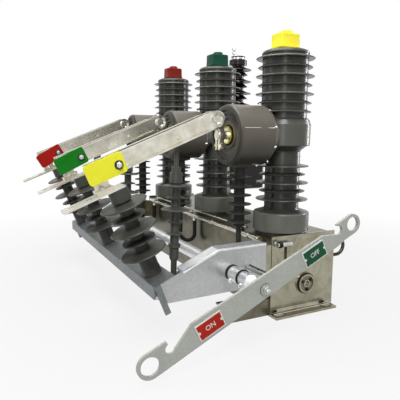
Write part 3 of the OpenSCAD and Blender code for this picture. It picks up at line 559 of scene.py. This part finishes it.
NODE_FINISHES = {
    # the box and its feet take the darker stainless as painted shade
    "mechanism_box": "shaded stainless", "end_plates": "stainless", "front_feet": "shaded stainless",
    "side_brackets": "stainless", "support_insulators": "pole epoxy", "top_terminals": "tinned",
    "transformer_terminals": "tinned", "riser_insulators": "riser rubber",
    "hoses": "black rubber", "conduit": "pipe stainless", "side_plates": "galvanised",
    "front_beam": "galvanised beam", "shaft_bearings": "galvanised", "post_insulators": "post epoxy",
    "line_terminals": "tinned", "fixed_contacts": "bare contact", "operating_shaft": "galvanised tube",
    "shaft_cranks": "galvanised beam", "operating_handle": "handle zinc", "on_plate": "on enamel",
    "off_plate": "off enamel", "crank_socket": "stainless", "interlock_lever": "zinc",
    "lifting_eyes": "dark steel", "supply_bracket": "stainless", "supply_transformer": "brown glaze",
}
for colour in PHASES:
    NODE_FINISHES.update({
        f"interrupter_pole_{colour}": "pole epoxy", f"phase_cap_{colour}": f"{colour} vinyl",
        f"current_transformer_{colour}": "transformer epoxy", f"blade_{colour}": "tinned",
        f"phase_tag_{colour}": f"{colour} enamel", f"pull_rod_{colour}": "rod epoxy",
    })


# ------------------------------------------------------------------ sizes and colours a user may change

def colour_setting(name, description, hex_colour):
    """A colour that the user may change, with its default as sRGB hex."""
    return FloatVectorProperty(name=name, description=description, subtype="COLOR", size=4,
                               min=0.0, max=1.0, default=linear(hex_colour))


def size_setting(name, description, default, low, high):
    """A length that the user may change, with its range."""
    return FloatProperty(name=name, description=f"{description}, in millimetres", default=default,
                         min=low, max=high)


def power_setting(name, light, default):
    """The power of one of the stage's lights."""
    return FloatProperty(name=name, description=f"Power of the {light}", unit="POWER", default=default,
                         min=0.0)


def angle_setting(name, description, degrees):
    """One of the camera's angles."""
    return FloatProperty(name=name, description=description, subtype="ANGLE", default=math.radians(degrees))


class BreakerColourSettings(bpy.types.PropertyGroup):
    # the poles' colour is the painted shade of their core; the rims take the paler painted light
    pole: colour_setting("Poles", "Epoxy of the poles between their sheds", "#3d3e38")
    # the transformers' colour is their upper side's, painted paler than the painted shade below it and at the
    # front
    transformer: colour_setting("Transformers", "Epoxy of the transformers' dusty upper side", "#68635a")
    galvanised: colour_setting("Side plates", "Zinc of the side plates", "#c0c2c2")
    yellow_cap: colour_setting("Yellow cap", "Vinyl of the yellow phase's cap", "#fff845")
    green_cap: colour_setting("Green cap", "Vinyl of the green phase's cap", "#034330")
    red_cap: colour_setting("Red cap", "Vinyl of the red phase's cap", "#7c1806")
    yellow_tag: colour_setting("Yellow tag", "Enamel of the yellow phase's tag", "#fffd40")
    green_tag: colour_setting("Green tag", "Enamel of the green phase's tag", "#0e8118")
    red_tag: colour_setting("Red tag", "Enamel of the red phase's tag", "#b0140c")
    on_plate: colour_setting("ON plate", "Printed field of the ON plate", "#c0240d")
    off_plate: colour_setting("OFF plate", "Printed field of the OFF plate", "#075a37")


class BreakerStageSettings(bpy.types.PropertyGroup):
    camera_place: FloatVectorProperty(
        name="Camera place", description="Where the camera stands, in metres",
        subtype="TRANSLATION", unit="LENGTH", default=(1.2744, -0.7151, 0.4372))
    camera_turn: angle_setting("Camera turn", "Direction that the camera looks from, round the vertical",
                               62.772)
    camera_rise: angle_setting("Camera rise", "Angle that the camera looks down by", 8.179)
    camera_roll: angle_setting("Camera roll", "Turn of the camera about its own line of sight", 0.384)
    camera_lens: size_setting("Lens", "Focal length on a sensor 36 mm wide", 41.014, 10.0, 200.0)
    top_power: power_setting("Top light", "softbox above", 60.0)
    key_power: power_setting("Key light", "large softbox at the front right", 44.0)
    side_power: power_setting("Side strip", "upright strip on the line side", 5.0)
    front_power: power_setting("Front strip", "upright strip behind the camera", 8.0)
    rim_power: power_setting("Rim strip", "upright strip behind the poles", 28.0)
    room_level: FloatProperty(
        name="Room level", description="Brightness of the room on the object's diffuse surfaces",
        default=0.10, min=0.0, max=2.0)


class BreakerCapSettings(bpy.types.PropertyGroup):
    corner: size_setting("Corner", "Radius of the caps' upright corners", 3.0, 0.5, 10.0)
    lip: size_setting("Lip", "Height of the thicker lip at the caps' foot", 4.0, 1.0, 10.0)


class BreakerTagSettings(bpy.types.PropertyGroup):
    corner: size_setting("Corner", "Radius of the tags' corners", 7.0, 1.0, 15.0)
    bolt_from_hinge: size_setting("Bolt's distance", "Distance of the tag's bolt from the blade's hinge",
                                  253.0, 200.0, 300.0)


class BreakerLabelSettings(bpy.types.PropertyGroup):
    border: size_setting("Border", "Width of the white border", 2.4, 0.5, 6.0)
    letter_height: size_setting("Letters", "Size of the letters", 14.0, 5.0, 25.0)


# ------------------------------------------------------------------ operators

class BREAKER_OT_finishes(bpy.types.Operator):
    """Make the finishes and give each construction piece its own"""
    bl_idname = "breaker.finishes"
    bl_label = "Finishes"

    def execute(self, context):
        make_finishes(context.scene.breaker_colours)
        trees.update({"hexagon": hex_fastener_tree(), "ribs": rib_tree()})
        for name, thing in frame["nodes"].items():
            for slot in thing.material_slots:
                slot.material = finishes[NODE_FINISHES[name]]
        return {"FINISHED"}


class BREAKER_OT_caps(bpy.types.Operator):
    """Mould the three coloured caps with their lip, rounded edges and knob"""
    bl_idname = "breaker.caps"
    bl_label = "Phase Caps"

    def execute(self, context):
        settings = context.scene.breaker_caps
        knob_r, knob_h = 16.0, 8.0
        for colour in PHASES:
            low, high = (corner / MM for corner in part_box(f"phase_cap_{colour}"))
            width, depth = high.x - low.x, high.y - low.y
            place = Matrix.Translation(at((low.x + high.x) / 2, (low.y + high.y) / 2, low.z))
            top = high.z - low.z - knob_h
            bm = bmesh.new()
            # (inset, height) of each level: lip, wall with a little draft, and the rounded shoulder
            levels = [(1.5, 0.0), (0.2, 0.6), (0, 1.6), (0, settings.lip), (1.0, settings.lip + 1.2),
                      (1.4, top - 4.5), (2.0, top - 2.0), (3.4, top - 0.6), (5.5, top)]
            skin(bm, [[place @ at(x, y, z) for x, y in
                       rounded(width - 2 * inset, depth - 2 * inset, settings.corner + inset / 2)]
                      for inset, z in levels])
            knob = Matrix.Translation(at(hinges[colour].x / MM, 0, low.z))
            lathe(bm, [(0, top - 1), (knob_r, top - 1), (knob_r - 0.6, top + 0.8), (knob_r - 1.2, top + 2),
                       (knob_r - 1.6, top + knob_h - 2.5), (knob_r - 3.2, top + knob_h - 0.7),
                       (knob_r - 6, top + knob_h), (0, top + knob_h)], knob)
            piece = keep(f"vinyl_cap_{colour}", bm, STILL, f"{colour} vinyl", sharp=50)
            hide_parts(f"phase_cap_{colour}")
        return {"FINISHED"}


class BREAKER_OT_tags(bpy.types.Operator):
    """Cut the three coloured tags with rounded corners and bolt them on the blades"""
    bl_idname = "breaker.tags"
    bl_label = "Phase Tags"

    def execute(self, context):
        settings = context.scene.breaker_tags
        height, bolt_drop = 45, 3            # the tags' height, and the bolt's place below the blade's line
        for colour in PHASES:
            node = frame["nodes"][f"phase_tag_{colour}"]
            back, tag_front = (corner.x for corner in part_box(node.name))
            to_blade = blade_frame(colour).inverted()
            flat = [to_blade @ vertex.co for vertex in node.data.vertices]
            bolt = Vector((0, -settings.bolt_from_hinge, 0)) * MM
            # the plate's own turn about its bolt, from its lowest and its innermost corners
            far = min(flat, key=lambda p: p.y + p.z)
            near = max(flat, key=lambda p: p.y - p.z)
            turn = math.atan2(far.z - near.z, far.y - near.y) + math.pi
            length = (far - near).yz.length
            middle = sum((Vector(p) for p in flat), Vector()) / len(flat)
            place = blade_frame(colour) @ Matrix.Translation((back - hinges[colour].x, middle.y, middle.z)) \
                @ Matrix.Rotation(turn, 4, "X") @ UPRIGHT
            bm = bmesh.new()
            slab(bm, rounded(length / MM, height, settings.corner), (tag_front - back) / MM, place)
            piece = keep(f"tag_{colour}", bm, f"blade_{colour}", f"{colour} enamel")
            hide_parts(node.name)
            head = blade_frame(colour) @ (bolt + Vector((tag_front - hinges[colour].x, 0, -bolt_drop * MM)))
            bolts(f"tag_bolt_{colour}", [(head, (1, 0, 0))], f"blade_{colour}",
                  head=6.6, height=4.5, washer=0.1)
            # painted shade: a dark ring round the foot of the tag's bolt
            bm = bmesh.new()
            lathe(bm, [(5, 0), (9.5, 0), (9.8, 0.8), (9.2, 1.6), (5, 1.6)],
                  facing(head, (1, 0, 0), (0, 0, 1)), closed=True)
            keep(f"tag_bolt_shade_ring_{colour}", bm, f"blade_{colour}", "dark steel")
        return {"FINISHED"}


class BREAKER_OT_labels(bpy.types.Operator):
    """Print the ON and OFF plates of the handle: a coloured field, a white border and white letters"""
    bl_idname = "breaker.labels"
    bl_label = "ON and OFF Plates"

    def execute(self, context):
        settings = context.scene.breaker_labels
        thickness, field_t = 1.2, 0.25
        # the word, the plate's place along and across the handle, its length and its width
        plates = {"on": ("ON", -131.0, 5.5, 58.0, 34.0), "off": ("OFF", 133.0, 2.0, 59.0, 36.0)}
        for name, (word, along, up, length, width) in plates.items():
            node = f"{name}_plate"
            place = handle_frame(along, up)
            bm = bmesh.new()
            slab(bm, rounded(length, width, 1.5), thickness, place)
            self.round_marks(bm, place, length, thickness, settings.border)
            border = keep(f"{name}_plate_border", bm, SHAFT, "white enamel")
            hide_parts(node)
            bm = bmesh.new()
            slab(bm, rounded(length - 2 * settings.border, width - 2 * settings.border, 1.0), field_t,
                 place, base=thickness)
            keep(f"{name}_plate_field", bm, SHAFT, f"{name} enamel")
            self.letters(f"{name}_letters", word, place, thickness + 0.2, settings.letter_height,
                         f"{name}_paint")
        return {"FINISHED"}

    def round_marks(self, bm, place, length, thickness, border):
        """Half-round white marks in the middle of the plate's short sides."""
        for side in (-1, 1):
            spot = place @ Matrix.Translation(at(side * (length / 2 - border - 1.2), 0, thickness))
            lathe(bm, [(0, 0), (3.0, 0), (3.0, 0.45), (0, 0.45)], spot, steps=20)

    def letters(self, name, word, place, height, size, slot):
        """Raised letters that read along the handle."""
        text = bpy.data.curves.new(name, "FONT")
        text.body = word
        text.align_x = "CENTER"
        text.align_y = "CENTER"
        text.size = size * MM
        text.extrude = 0.15 * MM
        text.offset = 0.15 * MM
        text.resolution_u = 4
        holder = put(name, text)
        mesh = bpy.data.meshes.new_from_object(holder.evaluated_get(bpy.context.evaluated_depsgraph_get()))
        bpy.data.objects.remove(holder)
        mesh.transform(place @ Matrix.Translation(at(0, 0, height)))
        bm = bmesh.new()
        bm.from_mesh(mesh)
        bpy.data.meshes.remove(mesh)
        keep(name, bm, SHAFT, "white enamel")


class BREAKER_OT_fasteners(bpy.types.Operator):
    """Set the hexagon bolts and nuts of the frame, the contacts and the shaft's collar"""
    bl_idname = "breaker.fasteners"
    bl_label = "Fasteners"

    def execute(self, context):
        self.beam_bolts()
        self.contact_bolts()
        down = Vector((0, -0.75, -0.66))
        start = Vector((plates_high.x, shaft.y, shaft.z))
        # one in the collar and one in its sleeve: distance from the side plate, and radius there
        spots = [(start + at(along, 0, 0) + down * radius * MM, down)
                 for along, radius in ((52, 16.5), (92, 15))]
        bolts("collar_bolts", spots, SHAFT, head=6.0, height=5.0, washer=6.5, stud=2.0)
        return {"FINISHED"}

    def beam_bolts(self):
        """Cleats with a bolt under the beam."""
        spots = []
        bm = bmesh.new()
        # the cleats' middle, from the beam's front and from its top
        inset, drop = 13, 40
        for x in (-398, -196, 196, 398):
            place = Vector((x * MM, beam_low.y + inset * MM, beam_high.z - drop * MM))
            slab(bm, rounded(24, 24, 3), 3.0, Matrix.Translation(place))
            spots.append((place, (0, 0, -1)))
        keep("beam_cleats", bm, STILL, "galvanised beam")
        bolts("beam_bolts", spots, STILL, head=7.5, height=6.0, washer=9.5, stud=4.0)

    def contact_bolts(self):
        """Two bolts through the foot of each fixed contact."""
        spots = []
        half, rise = 11.5, 14                # half the bolts' spacing, and their height on the foot
        foot_low, foot_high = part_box("fixed_contacts")
        for colour in PHASES:
            middle = Vector((hinges[colour].x, (foot_low.y + foot_high.y) / 2, foot_low.z)) + at(0, 2, rise)
            spots += [(middle + at(side * half, 0, 0), bar_normal) for side in (-1, 1)]
        bolts("contact_bolts", spots, STILL, head=5.2, height=4.0, washer=6.0, stud=2.0)


class BREAKER_OT_threads(bpy.types.Operator):
    """Cut the thread of the interlock's rod and the ribs of the hoses"""
    bl_idname = "breaker.threads"
    bl_label = "Threads and Ribs"

    def execute(self, context):
        self.hose_ribs()
        hex_r, hex_t = 10 * MM, 9 * MM       # the hexagon on the rod's inner end
        lever_low, lever_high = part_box("interlock_lever")
        path = [Vector((x, lever_low.y + hex_r, lever_low.z + hex_r))
                for x in (plates_high.x + hex_t, lever_high.x)]
        # a thread pitch of 1.75 mm is drawn at 2.2 mm so that it shows
        ribs("interlock_thread", [path], "dark steel", spacing=2.2, radius=5.6, thickness=1.15)
        return {"FINISHED"}

    def hose_ribs(self):
        """Ribs along each hose: down from the riser, round the bend and up to the conduit."""
        low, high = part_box("hoses")
        tube = 5.5 * MM
        paths = []
        for colour in PHASES:
            start = Vector((hinges[colour].x, low.y + tube, 0))
            end = Vector((high.x - tube - hinges["yellow"].x + start.x, high.y - tube, 0))
            middle, half = (start + end) / 2, (end - start) / 2
            turn = low.z + tube + half.length
            path = [Vector((start.x, start.y, turn + 16 * MM))]
            for k in range(13):
                angle = math.pi * k / 12
                drop = Vector((0, 0, turn - half.length * math.sin(angle)))
                path.append(middle - half * math.cos(angle) + drop)
            path.append(Vector((end.x, end.y, high.z - 2 * MM)))
            paths.append(path)
        ribs("hose_ribs", paths, "black rubber", spacing=3.2, radius=5.5, thickness=0.7)


class BREAKER_OT_transformers(bpy.types.Operator):
    """Fit the transformers' brass collars, the mould marks on their sides in bright tin as painted highlights, and
    the screws of their rims
    """
    bl_idname = "breaker.transformers"
    bl_label = "Transformer Fittings"

    def execute(self, context):
        screws = []
        mark_angle, first_screw = math.radians(14), math.radians(20.5)
        for colour in PHASES:
            low, high = (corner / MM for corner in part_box(f"current_transformer_{colour}"))
            radius = (high.x - low.x) / 2
            axis_z = high.z - radius
            middle = hinges[colour].x / MM
            front = facing(at(middle, low.y + 16, axis_z), (0, -1, 0))
            bm = bmesh.new()
            lathe(bm, [(10.2, 0), (21, 0), (21, 11), (20, 12), (17.5, 12), (16.5, 10.5), (10.2, 10.5)],
                  front, closed=True)
            keep(f"brass_collar_{colour}", bm, STILL, "brass")
            # painted highlight: the ridges take bright tin instead of the epoxy, so they show as light lines
            bm = bmesh.new()
            # each mark's two ends, from the transformer's front
            for start, end in ((11, 53), (74, 94)):
                self.mark(bm, at(middle, low.y, axis_z), radius, mark_angle, start, end)
            keep(f"mould_mark_highlights_{colour}", bm, STILL, "tinned")
            for k in range(10):
                angle = math.radians(36 * k) - first_screw
                out = Vector((math.cos(angle), 0, math.sin(angle)))
                screws.append((at(middle, high.y - 7, axis_z) + out * (radius - 1) * MM, out))
        bolts("rim_screws", screws, STILL, head=3.4, height=3.0, washer=0.1, stud=1.0)
        return {"FINISHED"}

    def mark(self, bm, middle, radius, angle, start, end):
        """One low half-round ridge along the transformer's side, which its bright finish turns into a painted
        highlight.
        """
        out = Vector((math.cos(angle), 0, math.sin(angle)))
        sweep(bm, [middle + at(0, y, 0) + out * radius * MM for y in (start, start + 2, end - 2, end)],
              0.9, 8)


class BREAKER_OT_bushing(bpy.types.Operator):
    """Fit the bright neck, the stud and the nuts on the supply transformer's bushing"""
    bl_idname = "breaker.bushing"
    bl_label = "Bushing Head"

    def execute(self, context):
        low, high = (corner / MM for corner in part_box("supply_transformer"))
        # a place on the upright axis of the transformer's box, 62 mm below its top
        middle = Vector(((low.x + high.x) / 2, (low.y + high.y) / 2, high.z - 62))
        bm = bmesh.new()
        lathe(bm, [(21.5, 21.2), (23, 21.2), (22.8, 23.5), (22.8, 26.5), (23.2, 28.8), (21.5, 28.8)],
              Matrix.Translation(at(*middle)), closed=True)
        stud = middle + Vector((-7, -11.5, 33.2))
        lathe(bm, [(0, 0), (4.5, 0), (4.5, 28), (3.6, 29.2), (0, 29.2)], Matrix.Translation(at(*stud)))
        keep("bushing_neck", bm, STILL, "zinc")
        nuts = [(at(stud.x, stud.y, stud.z + z), (0, 0, 1)) for z in (6.6, 19.6)]
        bolts("bushing_nuts", nuts, STILL, head=8.4, height=6.6, washer=9.0, stud=1.0)
        return {"FINISHED"}


class BREAKER_OT_end_plate(bpy.types.Operator):
    """Fit the foot flanges' bends, a bright strip of painted highlight and dark lines of painted shade on them,
    the lever's knob, and the crank socket's lugs and painted groove shade
    """
    bl_idname = "breaker.end_plate"
    bl_label = "End Plate Fittings"

    def execute(self, context):
        low, high = (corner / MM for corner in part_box("mechanism_box"))
        face = high.x + 5
        start, end = low.y + 2, high.y - 10
        flange_top = 6.0
        for side, name in ((1, "near"), (-1, "far")):
            bm = bmesh.new()
            self.bend(bm, side, face, flange_top, start, end)
            keep(f"foot_bend_{name}", bm, STILL, "stainless", sharp=60)
            # painted highlight: a bright bead along the flange
            bm = bmesh.new()
            sweep(bm, [at(side * (face + 10.6), y, flange_top + 0.1) for y in (start, end)], 1.3, 10)
            keep(f"foot_highlight_strip_{name}", bm, STILL, "pipe stainless", sharp=60)
            # painted shade: dark lines beside the bright strip and under the flange's outer edge, round each slot,
            # and a dark flat notch on the plate above each slot
            bm = bmesh.new()
            sweep(bm, [at(side * (face + 8.6), y, flange_top + 0.2) for y in (start, end)], 0.9, 8)
            sweep(bm, [at(side * (face + 26.6), y, 1.2) for y in (start, end)], 1.1, 8)
            for k in (1, 2):
                slot = mounts[f"foot_slots_{name}"]
                middle = Vector(slot["pos_m"]) \
                    + at(0, (k - 1.5) * slot["dims"]["spacing_y_mm"], flange_top + 0.1)
                self.slot_shade(bm, middle, slot["dims"])
                notch_shade = facing(at(side * (face - 0.1), middle.y / MM - 5, 10.5), (side, 0, 0), (0, 1, 0))
                slab(bm, rounded(15, 6, 2.9), 4.0, notch_shade)
            keep(f"foot_shade_lines_{name}", bm, STILL, "dark steel")
        knob_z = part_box("interlock_lever")[1].z / MM - 7
        knob = facing(at(face + 10, low.y + 14, knob_z), (0, -1, 0))
        bm = bmesh.new()
        lathe(bm, [(0, 9), (7.5, 9), (7.9, 10.2), (7.5, 11.4), (0, 11.4)],
              facing(at(face - 5, low.y + 16, knob_z), (1, 0, 0)))
        lathe(bm, [(0, -8), (6.2, -8), (7.6, -6.5), (8, -3), (7.6, 1), (6, 3), (3, 4), (0, 4.2)], knob)
        keep("lever_knob", bm, STILL, "black rubber")
        self.socket()
        return {"FINISHED"}

    def bend(self, bm, side, face, floor, start, end):
        """The rounded inner corner between the plate and its foot flange."""
        radius = 9.0
        arc = [(0, 0)] + [(radius * (1 - math.sin(a)), radius * (1 - math.cos(a)))
                          for a in (math.radians(15 * k) for k in range(7))]
        skin(bm, [[at(side * (face - 0.1 + x), y, floor - 0.1 + z) for x, z in arc] for y in (start, end)])

    def slot_shade(self, bm, middle, sizes):
        """Painted shade: a dark line round a foot slot."""
        width, length = 2 * sizes["hole_r_mm"] + 1, sizes["slot_length_mm"] + 1
        outline = rounded(width, length, width / 2 - 0.01)
        sweep(bm, [middle + at(x, y, 0) for x, y in outline + outline[:1]], 0.8, 8)

    def socket(self):
        """Painted shade in the charging crank's socket, a dark floor in its groove round the hub and a black ring,
        and its three lugs.
        """
        low, high = (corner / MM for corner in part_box("crank_socket"))
        middle = facing(at(low.x, (low.y + high.y) / 2, (low.z + high.z) / 2), (1, 0, 0), (0, 1, 0))
        bm = bmesh.new()
        flat_ring(bm, 10.4, 19.6, 5.1, 6.3, middle)
        keep("socket_groove_shade", bm, STILL, "shaded stainless")
        # painted shade: a black ring in the outer groove, laid with the lugs
        bm = bmesh.new()
        flat_ring(bm, 24.3, 26.8, 3.1, 4.4, middle)
        for k in range(3):
            lug = middle @ Matrix.Rotation(math.tau * k / 3 + 0.6, 4, "Z") \
                @ Matrix.Translation(at(14.5, 0, 6.2))
            slab(bm, rounded(9, 7, 1.5), 3.4, lug)
        keep("socket_lugs_and_shade_ring", bm, STILL, "black rubber")


class BREAKER_OT_lips(bpy.types.Operator):
    """Round the side plates' bent upper edge in a bright finish that paints a highlight on it, and lay a thin
    bright sheet on the sloping part of their lip as a painted highlight
    """
    bl_idname = "breaker.lips"
    bl_label = "Side Plate Lips"

    def execute(self, context):
        outer = plates_high.x / MM
        bead, inset, lip = 3.4, 2.7, 34.0    # the bend's radius and depth, and the lip's width
        # (Y, Z) of the upper outer edge's corners, from the box to the front
        level, brow, foot = (-97.0, 185.0), (-222.0, 183.0), (-311.0, 144.1)
        run = Vector((0, foot[0] - brow[0], foot[1] - brow[1]))
        for side, name in ((1, "near"), (-1, "far")):
            # the rounded bend is real; its bright finish is a painted highlight
            bm = bmesh.new()
            sweep(bm, [at(side * (outer - inset), y, z - inset) for y, z in (level, brow, foot)], bead, 16)
            keep(f"lip_bend_{name}", bm, STILL, "galvanised highlight", sharp=60)
            # painted highlight: a thin bright sheet on the lip's sloping part
            bm = bmesh.new()
            middle = at(side * (outer - lip / 2), (brow[0] + foot[0]) / 2, (brow[1] + foot[1]) / 2)
            slab(bm, rounded(run.length - 4, lip - 2, 0.5), 0.5, facing(middle, (0, run.z, -run.y), run))
            keep(f"lip_slope_highlight_{name}", bm, STILL, "galvanised highlight")
        return {"FINISHED"}


class BREAKER_OT_shaft(bpy.types.Operator):
    """Fit the handle's centre bolt with a dark ring of painted shade under it, and black rings of painted shade in
    the gaps at the shaft's bearing and collar
    """
    bl_idname = "breaker.shaft"
    bl_label = "Shaft Fittings"

    def execute(self, context):
        middle = handle_frame(0, 0).translation
        bolts("handle_bolt", [(middle, (1, 0, 0))], SHAFT, head=8.5, height=6, washer=9.2, stud=3)
        # (name, body, inner and outer radius, start and end from the side plate's outer face)
        plate = facing(Vector((plates_high.x, shaft.y, shaft.z)), (1, 0, 0))
        # painted shade: black rings in the gaps beside the bearing and the collar
        for name, body, inner, outer, start, end in (
                ("bearing_gap_shade", STILL, 11.2, 18.2, 38.1, 45.4),
                ("collar_gap_shade", SHAFT, 13.8, 17.8, 79.6, 82.8)):
            bm = bmesh.new()
            flat_ring(bm, inner, outer, start, end, plate)
            keep(name, bm, body, "black rubber")
        # painted shade: a dark ring under the handle's bolt head
        bm = bmesh.new()
        flat_ring(bm, 9, 12.6, 0, 0.9, facing(middle, (1, 0, 0)))
        keep("handle_bolt_shade_ring", bm, SHAFT, "dark steel")
        return {"FINISHED"}


class BREAKER_OT_blades(bpy.types.Operator):
    """Turn the blades' flanges round their hinge ends and set the hinge washers"""
    bl_idname = "breaker.blades"
    bl_label = "Blade Ends"

    def execute(self, context):
        for colour in PHASES:
            low, high = (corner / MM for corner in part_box(f"blade_{colour}"))
            half = (high.x - low.x) / 2
            bm = bmesh.new()
            for side in (-1, 1):
                place = facing(hinges[colour], (side, 0, 0), (0, 1, 0)) @ Matrix.Rotation(side * tilt, 4, "Z")
                self.rim(bm, place, 16.6, 19, half - 10.4, half)
            keep(f"blade_rims_{colour}", bm, f"blade_{colour}", "zinc")
            bm = bmesh.new()
            for side in (-1, 1):
                place = facing(hinges[colour], (side, 0, 0), (0, 1, 0))
                lathe(bm, [(6.3, half - 10), (12.5, half - 10), (12.5, half - 9.2), (12, half - 8.9),
                           (6.3, half - 8.9)], place, closed=True)
            keep(f"hinge_washers_{colour}", bm, f"blade_{colour}", "zinc")
        return {"FINISHED"}

    def rim(self, bm, place, inner, outer, start, end):
        """A flange bent round the end of the channel, a little more than half a turn."""
        rings = []
        for k in range(25):
            angle = math.radians(-92 + 184 * k / 24)
            rings.append([place @ at(r * math.cos(angle), r * math.sin(angle), z)
                          for r, z in ((inner, start), (outer, start), (outer, end), (inner, end))])
        skin(bm, rings)


class BREAKER_OT_stage(bpy.types.Operator):
    """Make the pale floor, the soft studio lights and the camera"""
    bl_idname = "breaker.stage"
    bl_label = "Stage"

    def execute(self, context):
        scene = context.scene
        stage = scene.breaker_stage
        scene.view_settings.view_transform = "Standard"
        self.room(scene, stage.room_level)

        # the floor takes the shadow near the object and turns plain white further out
        mesh = bpy.data.meshes.new("floor")
        reach = 30.0
        mesh.from_pydata([(-reach, -reach, 0), (reach, -reach, 0), (reach, reach, 0), (-reach, reach, 0)],
                         [], [(0, 1, 2, 3)])
        floor = put("floor", mesh)
        floor.data.materials.append(self.floor_paper())

        middle = (cad_low + cad_high) / 2
        self.softbox("Top light", middle, (0.0, -0.2, 2.2), (2.2, 1.6), stage.top_power)
        self.softbox("Key light", middle, (1.8, -1.0, 1.7), (0.9, 0.9), stage.key_power)
        # upright strips that show as thin bright lines on glossy round things, and light nothing else
        for name, place, width, power in (
                ("Side strip", (-0.75, -2.1, 0.3), 0.12, stage.side_power),
                ("Front strip", (1.95, -1.2, 0.1), 0.25, stage.front_power),
                ("Rim strip", (0.22, 2.1, 0.3), 0.26, stage.rim_power)):
            strip = self.softbox(name, middle, place, (width, 1.8), power)
            strip.visible_diffuse = False
        self.camera(scene, stage)
        return {"FINISHED"}

    def room(self, scene, level):
        """White to the camera and in reflections, and a dimmer plain light on the surfaces."""
        world = bpy.data.worlds.new("Studio")
        scene.world = world
        world.use_nodes = True
        tree = world.node_tree
        tree.nodes.clear()
        share = add(tree, "ShaderNodeMapRange", {"Value": self.seen_directly(tree), "To Min": level})
        back = add(tree, "ShaderNodeBackground", {"Color": (1.0, 1.0, 1.0, 1.0),
                                                  "Strength": share.outputs["Result"]})
        add(tree, "ShaderNodeOutputWorld", {"Surface": back.outputs["Background"]})

    def seen_directly(self, tree):
        """1 for camera, glossy and transmission rays, else 0."""
        path = add(tree, "ShaderNodeLightPath").outputs
        seen = add(tree, "ShaderNodeMath", {0: path["Is Camera Ray"], 1: path["Is Glossy Ray"]},
                   operation="MAXIMUM")
        return add(tree, "ShaderNodeMath", {0: seen.outputs[0], 1: path["Is Transmission Ray"]},
                   operation="MAXIMUM").outputs[0]

    def floor_paper(self):
        """Seamless white studio paper, matt; it takes the shadow near the object only."""
        material, tree, shader, place = finish_of("Studio paper", Roughness=0.9)
        shader.inputs["Base Color"].default_value = linear("#a8a8a6")
        shader.inputs["Specular IOR Level"].default_value = 0.0
        far = add(tree, "ShaderNodeVectorMath", {0: place}, operation="LENGTH")
        reach = add(tree, "ShaderNodeMapRange", {"Value": far.outputs["Value"], "From Min": 0.5,
                                                 "From Max": 1.4, "To Min": 0.84})
        share = add(tree, "ShaderNodeMath", {0: self.seen_directly(tree), 1: reach.outputs["Result"]},
                    operation="MULTIPLY")
        white = add(tree, "ShaderNodeEmission", {"Color": (1.0, 1.0, 1.0, 1.0), "Strength": 1.0})
        both = add(tree, "ShaderNodeMixShader", {"Fac": share.outputs[0], 1: shader.outputs["BSDF"],
                                                 2: white.outputs["Emission"]})
        output = next(n for n in tree.nodes if n.type == "OUTPUT_MATERIAL")
        tree.links.new(both.outputs[0], output.inputs["Surface"])
        return material

    def softbox(self, name, middle, place, size, power):
        """One rectangular light, placed from the object's middle, which it faces; the camera misses it."""
        data = bpy.data.lights.new(name, "AREA")
        data.shape = "RECTANGLE"
        data.size, data.size_y = size
        data.energy = power
        light = put(name, data)
        light.visible_camera = False
        aim = Vector(place).to_track_quat("Z", "Y").to_matrix().to_4x4()
        light.matrix_world = Matrix.Translation(middle + Vector(place)) @ aim
        return light

    def camera(self, scene, stage):
        """The camera, from its place and its three angles."""
        data = bpy.data.cameras.new("Camera")
        data.sensor_width = 36.0
        data.lens = stage.camera_lens
        data.clip_start = 0.02
        camera = put("Camera", data)
        az, el, roll = stage.camera_turn, stage.camera_rise, stage.camera_roll
        back = Vector((math.sin(az) * math.cos(el), -math.cos(az) * math.cos(el), math.sin(el)))
        right = Vector((math.cos(az), math.sin(az), 0.0))
        up = back.cross(right)
        right, up = (right * math.cos(roll) + up * math.sin(roll),
                     up * math.cos(roll) - right * math.sin(roll))
        turn = Matrix((right, up, back)).transposed().to_4x4()
        camera.matrix_world = Matrix.Translation(stage.camera_place) @ turn
        scene.camera = camera


class BREAKER_PT_pieces(bpy.types.Panel):
    """List the breaker's pieces and its settings"""
    bl_idname = "BREAKER_PT_pieces"
    bl_label = "Circuit Breaker"
    bl_space_type = "VIEW_3D"
    bl_region_type = "UI"
    bl_category = "Breaker"

    def draw(self, context):
        column = self.layout.column()
        for operator in OPERATORS:
            column.operator(operator.bl_idname)
        for group in SETTINGS.values():
            box = self.layout.box()
            settings = getattr(context.scene, group)
            for name in settings.bl_rna.properties.keys():
                if name not in ("rna_type", "name"):
                    box.prop(settings, name)


OPERATORS = (BREAKER_OT_finishes, BREAKER_OT_caps, BREAKER_OT_tags, BREAKER_OT_labels,
             BREAKER_OT_fasteners, BREAKER_OT_threads, BREAKER_OT_transformers, BREAKER_OT_bushing,
             BREAKER_OT_end_plate, BREAKER_OT_lips, BREAKER_OT_shaft, BREAKER_OT_blades,
             BREAKER_OT_stage)
SETTINGS = {BreakerColourSettings: "breaker_colours", BreakerStageSettings: "breaker_stage",
            BreakerCapSettings: "breaker_caps", BreakerTagSettings: "breaker_tags",
            BreakerLabelSettings: "breaker_labels"}


def register():
    for kind, name in SETTINGS.items():
        bpy.utils.register_class(kind)
        setattr(bpy.types.Scene, name, PointerProperty(type=kind))
    for kind in OPERATORS + (BREAKER_PT_pieces,):
        bpy.utils.register_class(kind)


def unregister():
    for kind in reversed(OPERATORS + (BREAKER_PT_pieces,)):
        bpy.utils.unregister_class(kind)
    for kind, name in reversed(SETTINGS.items()):
        delattr(bpy.types.Scene, name)
        bpy.utils.unregister_class(kind)


def main():
    register()
    for operator in OPERATORS:
        family, action = operator.bl_idname.split(".")
        getattr(getattr(bpy.ops, family), action)()


if __name__ == "__main__":
    main()
